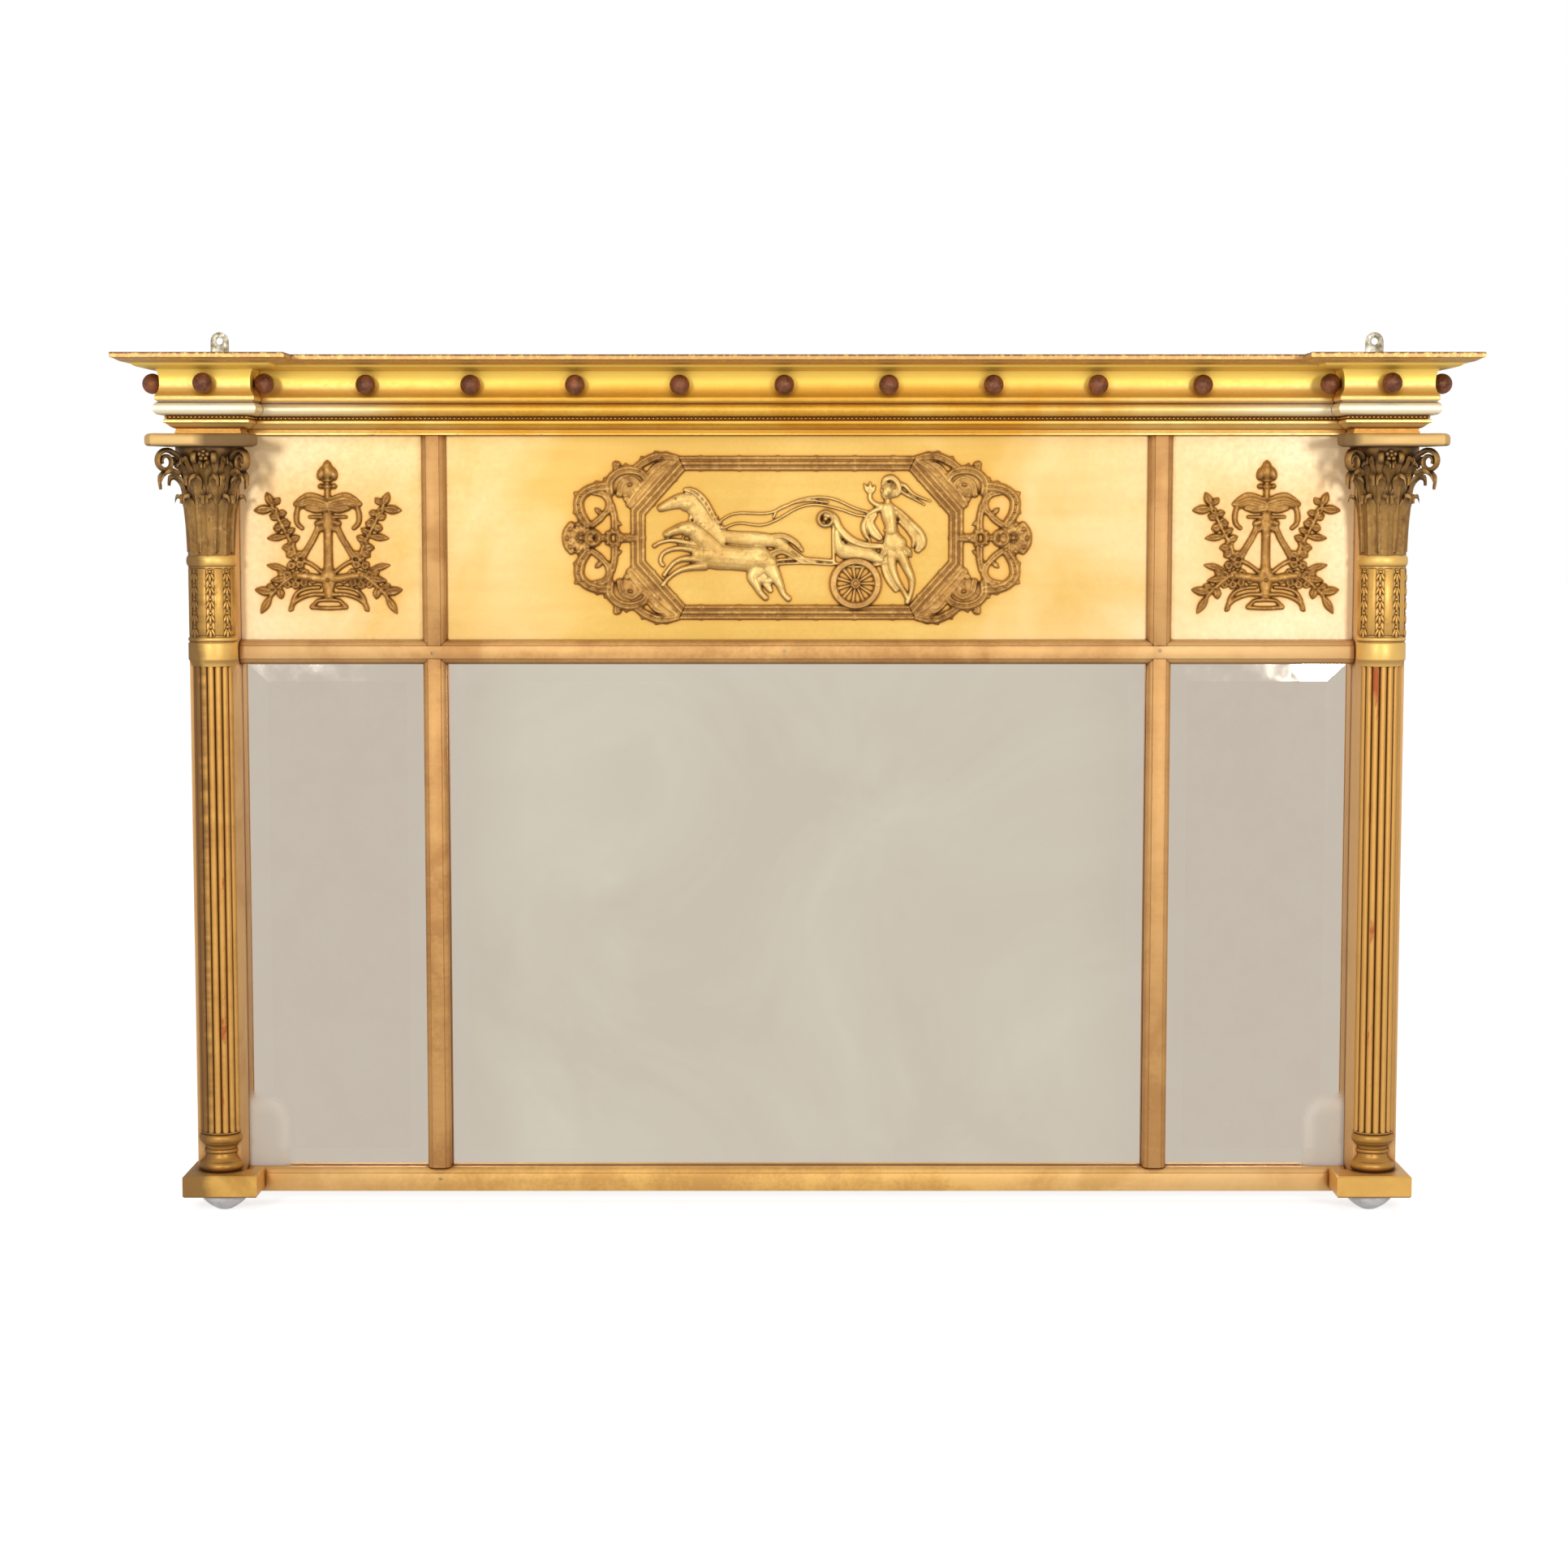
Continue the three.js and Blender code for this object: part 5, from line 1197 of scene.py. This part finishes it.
def makeSpray(label, side):
    bm = bmesh.new()

    def put(points, flip):
        return [(side * x, flip * z, width) for x, z, width in points]

    for points, height in scrolls["side"]:
        raised(bm, put(points, 1), height, 0.3)
    for flip in (1, -1):
        for points, height in scrolls["corner"]:
            raised(bm, put(points, flip), height, 0.35)
        for foot, tip, width in scrolls["leaves"]:
            leafShape(bm, (side * foot[0], flip * foot[1]), (side * tip[0], flip * tip[1]), width, 7)
        for x, z in scrolls["pearls"]:
            mound(bm, side * x, flip * z, 2.4, 2.2, 9.2)
        rosette(bm, side * 184, flip * 58, 8, 6, 8.4)
        mound(bm, side * 186, flip * 60, 19, 16, 5.2)  # fills behind the curls
    rosette(bm, side * 237, 0, 17.5, 9, 7.4, 0.2)
    hoop(bm, side * 224, 0, 7.4, 3, 8)
    hoop(bm, side * 201, 0, 6.6, 3, 7.4)
    for k in range(9):  # petals round the two eyes
        angle = math.radians(40 * k)
        for x, reach, half, height in ((201, 9, 2.6, 7), (237, 15, 3.6, 8)):
            mound(bm, side * (x + reach * math.cos(angle)), reach * math.sin(angle), half, half, height)
    mound(bm, side * 189, 0, 4.6, 4.6, 7.6)
    for first in (0, 1, 2) if side > 0 else (4, 5, 6):
        borderBar(bm, first)
    reliefPiece(f"rocaille_spray_{label}", bm, (0, friezeMiddle), f"spray_{label}")


for label, side in sides.items():
    makeSpray(label, side)
for label, first in (("top", 7), ("bottom", 3)):
    bm = bmesh.new()
    borderBar(bm, first)
    reliefPiece(f"reeded_border_{label}", bm, (0, friezeMiddle), f"border_{label}")
print("border and sprays made")

# the chariot group: strokes with their height and the depth of the crease along them
nearHorse = [
    ([(-109, -18, 9), (-92, -20, 14.4), (-72, -21.5, 14), (-54, -23, 14), (-41, -23.5, 15.5),
      (-30, -27, 10.5)], 7.2, 0),
    ([(-91, -12, 12), (-103, -1, 11.6), (-112, 7, 9.8), (-117, 10.5, 8.4)], 7.4, 0),
    ([(-116, 10.5, 8.2), (-125, 10.5, 7), (-135, 7.5, 5.2), (-143.5, 4, 4)], 7.8, 0),
    ([(-107, -8, 4.4), (-124, -4.5, 3.4), (-138, -2.5, 2.6), (-150, -5, 2.2), (-157, -9, 2.6)], 5, 0),
    ([(-106, -15, 5), (-122, -11.5, 3.6), (-136, -12, 2.8), (-147, -17, 2.3), (-150, -25, 2.2),
      (-147, -30, 2.6)], 6, 0),
    ([(-104, -24, 5), (-121, -22.5, 3.8), (-133, -26, 2.8), (-141, -34, 2.3), (-146, -41, 2.6)], 6.6, 0),
    ([(-101, -30, 5.6), (-116, -32, 4.2), (-129, -35.5, 3), (-140, -43, 2.4), (-148, -52, 2.8)], 6.8, 0),
    ([(-42, -33, 10), (-48, -42, 7.5), (-44, -52, 5), (-40, -60, 3.6), (-34, -66, 3.6)], 6.4, 0),
    ([(-30, -32, 10), (-24, -42, 7), (-19, -51, 4.6), (-15, -61, 3.2), (-9, -67, 3.6)], 6.8, 0),
    ([(-38, -42, 6), (-33, -51, 5), (-29, -58, 3)], 4.4, 0),
    ([(-46, -44, 4), (-34, -47, 4.4), (-24, -45, 3.6)], 5, 0),
    ([(-27, -17, 4.4), (-16, -14, 4.2), (-4, -20, 3.4), (7, -27.5, 1.8)], 5.6, 0.4),
]
farHorse = [
    ([(-84, -2, 9.5), (-95, 11, 10.4), (-105, 25, 10.6), (-115, 37, 10.2)], 4.6, 0),
    ([(-115, 39, 10.2), (-127, 40.5, 9), (-139, 37, 6.6), (-150, 32.5, 4.4)], 5, 0),
    ([(-123, 53, 2.4), (-112, 50, 4), (-101, 39, 4.4), (-93, 25, 3.6), (-86, 10, 2.6)], 6, 0.45),
    ([(-87, 4, 6.3), (-66, -0.5, 8.4), (-42, -1.5, 8.4), (-22, -4.5, 7), (-8, -12.5, 4.4)], 4.2, 0),
    ([(-27, 2, 3), (-14, 1.5, 3.4), (-2, -5, 3.4), (6, -14, 2)], 5, 0.3),
    ([(-8, -13, 4.4), (6, -22, 3), (20, -26.5, 1.8)], 4, 0.4),
]
harness = [
    ([(-28.5, -25, 2), (2.5, -22.5, 1.9), (38, -25, 2)], 4.6, 0),
    ([(-28.5, -29, 1.6), (2.5, -27.5, 1.5), (38, -29, 1.6)], 3.8, 0),
    ([(-91, 14, 1.3), (-69, 26.5, 1.5), (-33, 27, 1.5), (-14, 34, 1.5), (2, 41, 1.5), (22, 44.5, 1.5),
      (42, 42, 1.5), (62, 33, 1.5), (80, 27.5, 1.5)], 3.2, 0),
    ([(-89, 6, 1.3), (-66, 16, 1.5), (-40, 14, 1.5), (-22, 20, 1.5), (0, 32.5, 1.5), (20, 36.5, 1.5),
      (45, 32, 1.5), (66, 25, 1.5), (80, 24, 1.5)], 3.2, 0),
    ([(-26, 22, 1.2), (-20, 32, 1.3), (-4, 38, 1.3), (14, 41, 1.3), (34, 39, 1.3)], 2.6, 0),
    ([(-84, -9, 1.5), (-80, -18, 1.5), (-82, -30, 1.5)], 8.6, 0),
    ([(-66, 4, 1.3), (-64, -6, 1.4)], 8, 0),
    ([(-118, 11, 1.2), (-124, 2, 1.2), (-129, -8, 1.2)], 8.8, 0),
]
chariotBody = [
    ([(29, 16, 2), (33, 25.5, 4.2), (41, 22, 4.4), (45, 13, 4.4), (52, 4, 4.6), (62, -3.5, 4.6),
      (76, -8, 4.2), (94.5, -9, 3.4)], 8.2, 0.2),
    ([(43, 8, 3), (46, -8, 6.5), (52, -14, 9.5), (66, -17, 10), (80, -19, 8.5), (92, -24, 5)], 5.6, 0),
    ([(39.8, 16, 1.8), (39.8, -6, 1.9), (40.5, -29, 2)], 7, 0),
    ([(42, -28, 2.2), (62, -31, 2.4), (84, -30, 2.4), (98, -26, 2.2)], 7, 0),
    ([(50, -4, 2), (54, -12, 2.2), (58, -24, 1.8)], 7, 0),
    ([(62, -9, 2), (67, -16, 2.2), (70, -26, 1.8)], 7, 0),
    ([(76, -12, 2), (81, -18, 2.2), (84, -27, 1.8)], 6.6, 0),
]
figure = [
    ([(99, 42, 3.4), (99.5, 37, 3.6)], 6.6, 0),  # neck
    ([(99, 33, 8.4), (101, 24, 8.6), (103, 14, 7), (103.5, 7, 6.6)], 7.4, 0),  # chest and waist
    ([(99, 33, 3.8), (89, 31.5, 3.2), (81, 27.5, 2.8), (77, 24, 2.4)], 7, 0),  # reins arm
    ([(101, 34.5, 3.8), (88, 36, 3), (80.5, 42, 2.6), (80, 49, 2.4)], 6.4, 0),  # raised arm
    ([(103.5, 7, 7), (105, 0, 10.5), (107.5, -7, 13.6)], 6.2, 0),  # skirt
    ([(104, -16, 7), (104, -31, 5.2), (109, -45, 4), (117, -58, 3), (122, -67, 2.8)], 5.4, 0),
    ([(113, -16, 7), (120, -31, 5.2), (126, -46, 3.8), (125, -60, 2.8), (121, -71, 2.8)], 6.6, 0),
    ([(96, -16, 3), (96, -30, 4.4), (101, -44, 5), (109, -57, 3.4)], 4, 0.3),
    ([(106, 33, 3), (114, 25, 5), (124, 13, 7), (133, 3, 7.4), (136, -6, 6.4), (132, -14, 3.4)], 5.2, 0.3),
    ([(112, 18, 2), (122, 8, 2.6), (128, -2, 2.6), (127, -10, 1.6)], 6.6, 0),
    ([(118, 22, 1.6), (129, 13, 2), (137, 4, 2), (141, -5, 1.4)], 6.4, 0),
    ([(86, 26, 3), (80, 17, 5), (84, 7, 6), (91, 0, 4)], 4.8, 0.3),  # cloth over the arm
    ([(77, 24, 2), (73, 14, 3.4), (75, 4, 3), (80, -3, 1.6)], 5, 0),
    ([(98, 6, 1.2), (96, -6, 1.8), (94, -20, 2.2)], 7.6, 0),  # folds of the skirt
    ([(102, 6, 1.2), (102, -7, 1.8), (102, -22, 2.2)], 7.8, 0),
    ([(106, 5, 1.2), (109, -8, 1.8), (112, -22, 2.2)], 7.8, 0),
    ([(109, 5, 1.2), (115, -7, 1.8), (122, -19, 2.2)], 7.4, 0),
    ([(96, 8.5, 1.6), (103, 7, 1.8), (110.5, 9, 1.6)], 8, 0),  # girdle
    ([(94, 58, 2), (97, 64, 3.4), (104, 65.5, 4), (110, 60, 3.6), (112, 52, 3), (109, 46, 2)], 7, 0.2),
    ([(109, 60, 2.2), (118, 57, 2.6), (126, 49, 2), (136, 44, 1.5), (147, 40, 1)], 3.6, 0),
    ([(110, 54, 2), (119, 48, 2.2), (130, 42, 1.6), (140, 36, 1)], 3.4, 0),
]


def makeHead(bm, x, z):  # turned to the left: skull, brow, nose, lips and chin in plain proportions
    mound(bm, x + 1.2, z + 1, 6.6, 7.2, 6.8)
    mound(bm, x - 1.8, z - 2.6, 4.6, 5.6, 6.4)
    leafShape(bm, (x - 5.6, z + 3), (x - 7.4, z - 1.4), 1.4, 5, 0)
    mound(bm, x - 5.4, z - 3.8, 1.5, 1.0, 5)
    mound(bm, x - 5.1, z - 5.2, 1.4, 0.9, 4.8)
    mound(bm, x - 3.8, z - 7.4, 2, 1.5, 5)
    mound(bm, x - 4, z + 0.6, 1.2, 0.8, 6.8)
    for k in range(6):  # dressed hair
        angle = math.radians(20 + 28 * k)
        mound(bm, x + 1.6 + 6.4 * math.cos(angle), z + 1.5 + 6.4 * math.sin(angle), 2, 2, 7)


def makeHorseFeatures(bm):
    mound(bm, -119, 8.5, 7.8, 7.6, 9)  # cheek, muzzle and eye of the near horse, then of the far one
    mound(bm, -142.5, 4, 4.8, 4, 8.2, turn=20)
    mound(bm, -130, 11.6, 1.7, 1.3, 9.6)
    mound(bm, -121, 37, 8.8, 8.6, 6)
    mound(bm, -149, 33, 4.8, 4, 5.6, turn=15)
    mound(bm, -133, 43, 1.8, 1.3, 6.8)
    leafShape(bm, (-114, 16), (-108, 25), 2.6, 7.6)  # ears
    leafShape(bm, (-118, 17), (-116, 26), 2.2, 7)
    leafShape(bm, (-122, 47), (-117, 56), 2.6, 5.8)
    for k in range(7):  # manes, flowing back
        t = k / 6
        foot = (-111 + 24 * t, 15.5 - 19 * t)
        leafShape(bm, foot, (foot[0] + 10 - 2 * t, foot[1] + 3 - 3 * t), 2.8, 8, 0)
        foot = (-110 + 23 * t, 45 - 33 * t)
        leafShape(bm, foot, (foot[0] + 9, foot[1] + 1 - 2 * t), 3, 5.4, 0)
    mound(bm, -98, -18, 12, 11.5, 8.4)  # shoulder, haunch and ribs
    mound(bm, -39, -24, 13.5, 12, 8.4)
    for k in range(3):
        raised(bm, [(-76 + 9 * k, -11, 0.9), (-74.5 + 9 * k, -19, 1.1), (-76 + 9 * k, -27, 0.9)], 7.9, 0, 4)


def makeChariot():
    bm = bmesh.new()
    for group in (farHorse, nearHorse, harness, chariotBody, figure):
        for points, height, crease in group:
            raised(bm, points, height, crease)
    makeHorseFeatures(bm)
    mound(bm, 104, 53, 8.5, 10, 4.4)  # mantle behind the head
    makeHead(bm, 99, 51.5)
    for foot, tip in (((99, -8), (92, -23)), ((104, -12), (102, -25)), ((110, -12), (112, -26)),
                      ((116, -8), (126, -21))):  # hem of the skirt
        leafShape(bm, foot, tip, 4.6, 6.4)
    hoop(bm, 31.3, 21, 7.6, 2.6, 7.6)  # curl at the front of the chariot
    mound(bm, 31.3, 21, 3.4, 3.4, 8)
    for tip in ((73, 60), (80, 62), (86, 58)):  # leaves in the raised hand
        leafShape(bm, (80, 47), tip, 2.6, 5.6)
    reliefPiece("chariot_group", bm, (0, friezeMiddle), "chariot_relief", "dark_gilt", 0.66, "relief_gold")


wheel = {"x": 64.3, "z": -49.8, "radius": 28.2, "rim": 7.6, "hub": 4.6, "spokes": 11}


def makeWheel():
    bm = bmesh.new()
    for share in (0.2, 0.4, 0.6, 0.8):  # a broad flat rim
        hoop(bm, 0, 0, wheel["radius"] - wheel["rim"] * share, wheel["rim"] * 0.24, 8, 48)
    for i in range(wheel["spokes"]):
        angle = 2 * math.pi * i / wheel["spokes"]
        c, s = math.cos(angle), math.sin(angle)
        raised(bm, [(out * c, out * s, half) for out, half in ((3, 1.4), (11, 1.9), (20, 2.9))], 5.6, 0, 3)
    mound(bm, 0, 0, wheel["hub"], wheel["hub"], 8.6)
    hoop(bm, 0, 0, wheel["hub"], 1.3, 6.6, 24)
    place = (wheel["x"], friezeMiddle + wheel["z"])
    reliefPiece("spoked_wheel", bm, place, "chariot_wheel", "dark_gilt", 0.5, "wheel_gold")


makeChariot()
makeWheel()
print("chariot made")

# the lyres of the side panels: what stands in the middle, and what is on both sides
lyreMiddle = [
    ([(0, 24, 3.4), (0, 50, 3.2), (0, 62, 3)], 6.4, 0),
    ([(0, 12, 4.8), (0, -10, 4.8), (0, -34, 5.2)], 5.4, 0),
    ([(0, 26, 6), (0, 14, 7)], 5.6, 0),
    ([(0, -33, 6), (0, -41, 10)], 6, 0),
    ([(0, -50, 7.6), (0, -58, 5.4), (0, -63, 4.6)], 6, 0),
    ([(-11.5, -67.5, 2), (0, -66.5, 2.6), (11.5, -67.5, 2)], 6, 0),
    ([(-19.5, -75, 2.2), (0, -76, 2.2), (19.5, -75, 2.2)], 6.2, 0),
    ([(-12, -67.5, 2), (-19.5, -75, 2.2)], 6, 0),
    ([(12, -67.5, 2), (19.5, -75, 2.2)], 6, 0),
]
lyreArms = [
    ([(2, 37, 6), (11, 39.5, 6.8), (20, 41, 6.4), (29, 38.5, 4.6), (36.5, 38, 2)], 6.2, 0.3),
    ([(3, 43, 2.2), (11, 46.5, 2.4), (21, 48, 2.6), (30, 43.5, 2.2), (36.5, 38, 1.6)], 7.6, 0.2),
    ([(3, 33, 4), (13, 32, 4.2), (23, 34, 3)], 5.8, 0.2),
    ([(2, 23.8, 1.8), (11, 23.8, 1.9), (20.5, 24, 1.8)], 7, 0),
    ([(6, 19, 3), (12, 16.5, 3.6)], 6.6, 0),
    ([(32, 36, 2.4), (34.4, 26, 2.9), (33.5, 17, 2.6), (28, 11.5, 2.4)], 5.6, 0),
    ([(10.5, 12, 3.2), (15.5, 1, 3.3), (21.5, -9, 3.4), (27.5, -19, 3.8)], 5.6, 0.35),
    ([(4, -44, 5), (14, -43, 4.8), (25, -41, 4.6), (37, -40, 4)], 5.8, 0),
    ([(8, -36, 2.4), (14, -31, 2.2), (21, -26.5, 2.4), (27, -24, 2.4)], 5, 0),
    ([(4, -61, 2.8), (18, -61, 2.4), (31, -65, 2.5), (39.5, -71, 2.5), (43, -78.5, 1.7)], 5.6, 0),
    ([(10, -53, 2.4), (22, -54, 2.3), (33, -58, 2.3), (39, -67, 2.4), (40.5, -78, 1.5)], 5.2, 0),
    ([(62, 38, 1.8), (56, 27, 2.1), (50, 14, 2.2), (43, 1, 2.3), (37, -12, 2.4), (35, -24, 2.6)], 4.8, 0),
    ([(33, -36, 2.6), (45, -45, 2.4), (56, -54, 2.3), (64, -63, 2)], 4.8, 0),
]
laurel = [
    ((61, 36), (67, 51)), ((60, 33), (81, 31)), ((59, 37), (52, 45)), ((55, 27), (45, 29)),
    ((54, 22), (64, 26)), ((50, 15), (41, 18)), ((50, 13), (60, 11)), ((46, 6), (36, 11.5)),
    ((45, 3), (67, 0.5)), ((42, -2), (31, 3)), ((39, -9), (51, -10)), ((37, -13), (46, -20)),
    ((46, -33), (68, -28.5)), ((44, -43), (64, -46)), ((47, -38), (56, -36)), ((54, -53), (52, -66)),
    ((60, -59), (81, -55.5)), ((58, -54), (68, -50)), ((63, -62), (75, -82)), ((36, -20), (26, -14)),
]
laurelWidths = (4.6, 5.2, 3.8, 4.2, 4.4)
berries = [(36, -19, 5.8), (31, -28, 5.2), (40.5, -29, 5.4), (45, -39, 5.4), (35, -40, 6.2), (26, -37, 4.8),
           (53, -44, 4.6), (27, -48, 5.2), (17, -45, 5), (36, -50, 5.4), (44, 7, 4.6), (48, 19, 4.4),
           (40, -5, 4.8), (58, 31, 4.2), (55, -55, 4.4), (45, -50, 4.4)]


def makeLyre(label, side):
    bm = bmesh.new()
    for points, height, crease in lyreMiddle:
        raised(bm, points, height, crease)
    for k in (-1, 0, 1):  # strings on the middle post
        raised(bm, [(3 * k, z, 1.1) for z in (8, -14, -38)], 7, 0)
    for half in (-1, 1):
        for points, height, crease in lyreArms:
            raised(bm, [(half * x, z, width) for x, z, width in points], height, crease)
        for i, (foot, tip) in enumerate(laurel):
            leafShape(bm, (half * foot[0], foot[1]), (half * tip[0], tip[1]),
                      laurelWidths[i % len(laurelWidths)], 6)
        for x, z, radius in berries:
            rosette(bm, half * x, z, radius, 5, 6.4)
        for k in range(6):  # feathered edge of the wings
            leafShape(bm, (half * (7 + 4.6 * k), 41 - 0.6 * k), (half * (9 + 5.2 * k), 29 + 0.9 * k), 2.5, 8)
        leafShape(bm, (half * 3, 14), (half * 13, 8), 3.4, 6.6)
        mound(bm, half * 6.6, 71, 4.6, 7.6, 7, turn=-14 * half)  # husk leaves round the acorn
        mound(bm, half * 7, 57.5, 3.6, 3, 7)
    mound(bm, 0, 74, 6.4, 10, 8)
    leafShape(bm, (0, 76), (0, 86), 4.4, 7, 0)
    mound(bm, 0, 64, 6, 2.8, 7)
    mound(bm, 0, 57, 5, 4, 6.4)
    for z, radius, petals, height in ((42, 6.4, 6, 8), (30, 4.6, 5, 7.4), (-45, 9, 7, 8)):
        rosette(bm, 0, z, radius, petals, height)
    mound(bm, 0, -60, 6.4, 4.4, 6.6)
    place = (side * lyreLine, friezeMiddle - 1)
    reliefPiece(f"lyre_trophy_{label}", bm, place, f"lyre_{label}", "dark_gilt", 0.6, "lyre_gold")


for label, side in sides.items():
    makeLyre(label, side)
print("lyres made")

stageLook = {"floor": 0.86, "lift": 0.66, "fill": 0.42, "shine": 0.8, "size": 30, "drop": 0.0005}


def makeFloor():
    bm = bmesh.new()
    bmesh.ops.create_grid(bm, x_segments=1, y_segments=1, size=stageLook["size"])
    mesh = bpy.data.meshes.new("studioFloor")
    bm.to_mesh(mesh)
    bm.free()
    floor = bpy.data.objects.new("studioFloor", mesh)
    bpy.context.collection.objects.link(floor)
    floor.location = (0, 0, cadBounds[0][2] - stageLook["drop"])
    material, tree, shader, place = blankMaterial("pale_floor")
    shades = [(shade, shade, shade, 1) for shade in (stageLook["floor"], stageLook["floor"] * 1.03)]
    ray = addNode(tree, "ShaderNodeLightPath").outputs
    feed(shader, {
        "Base Color": blend(noise(place, 3, 2), *shades),
        "Roughness": 0.9,
        "Emission Color": (1, 1, 1, 1),
        "Emission Strength": times(ray["Is Camera Ray"], stageLook["lift"]),
    })
    plain = addNode(tree, "ShaderNodeEmission", {"Strength": stageLook["shine"]})
    mixed = addNode(tree, "ShaderNodeMixShader", {
        0: ray["Is Glossy Ray"], 1: shader.outputs[0], 2: plain.outputs[0]})
    feed(tree.nodes["Material Output"], {"Surface": mixed.outputs[0]})
    mesh.materials.append(material)


def makeWorld():  # white to the camera, dimmer as a light, in between in the mirror
    world = bpy.data.worlds.new("studioWorld")
    bpy.context.scene.world = world
    world.use_nodes = True
    ray = addNode(world.node_tree, "ShaderNodeLightPath").outputs
    fill, shine = stageLook["fill"], stageLook["shine"]
    clear = larger(ray["Is Camera Ray"], ray["Is Transmission Ray"])
    gloss = times(ray["Is Glossy Ray"], shine - fill)
    strength = added(added(times(clear, 1 - fill), fill), gloss)
    feed(world.node_tree.nodes["Background"], {"Color": (1, 1, 1, 1), "Strength": strength})


lamps = {
    "keyLeft": {"place": (-1.15, -3.0, 1.12), "aim": (-0.4, 0, 0.6), "size": 0.42, "power": 22},
    "keyRight": {"place": (1.28, -3.0, 0.99), "aim": (0.4, 0, 0.6), "size": 0.42, "power": 23},
    "frontFill": {"place": (0, -3.4, 2.6), "aim": (0, 0, 0.4), "size": 1.8, "power": 12},
}


def makeLamps():
    for name, lamp in lamps.items():
        light = bpy.data.lights.new(name, "AREA")
        light.size = lamp["size"]
        light.energy = lamp["power"]
        holder = bpy.data.objects.new(name, light)
        holder.location = lamp["place"]
        aim = Vector(lamp["aim"]) - Vector(lamp["place"])
        holder.rotation_euler = aim.to_track_quat("-Z", "Y").to_euler()
        bpy.context.collection.objects.link(holder)


makeFloor()
makeWorld()
makeLamps()
bpy.context.scene.view_settings.view_transform = "Standard"
print("stage and lamps set")
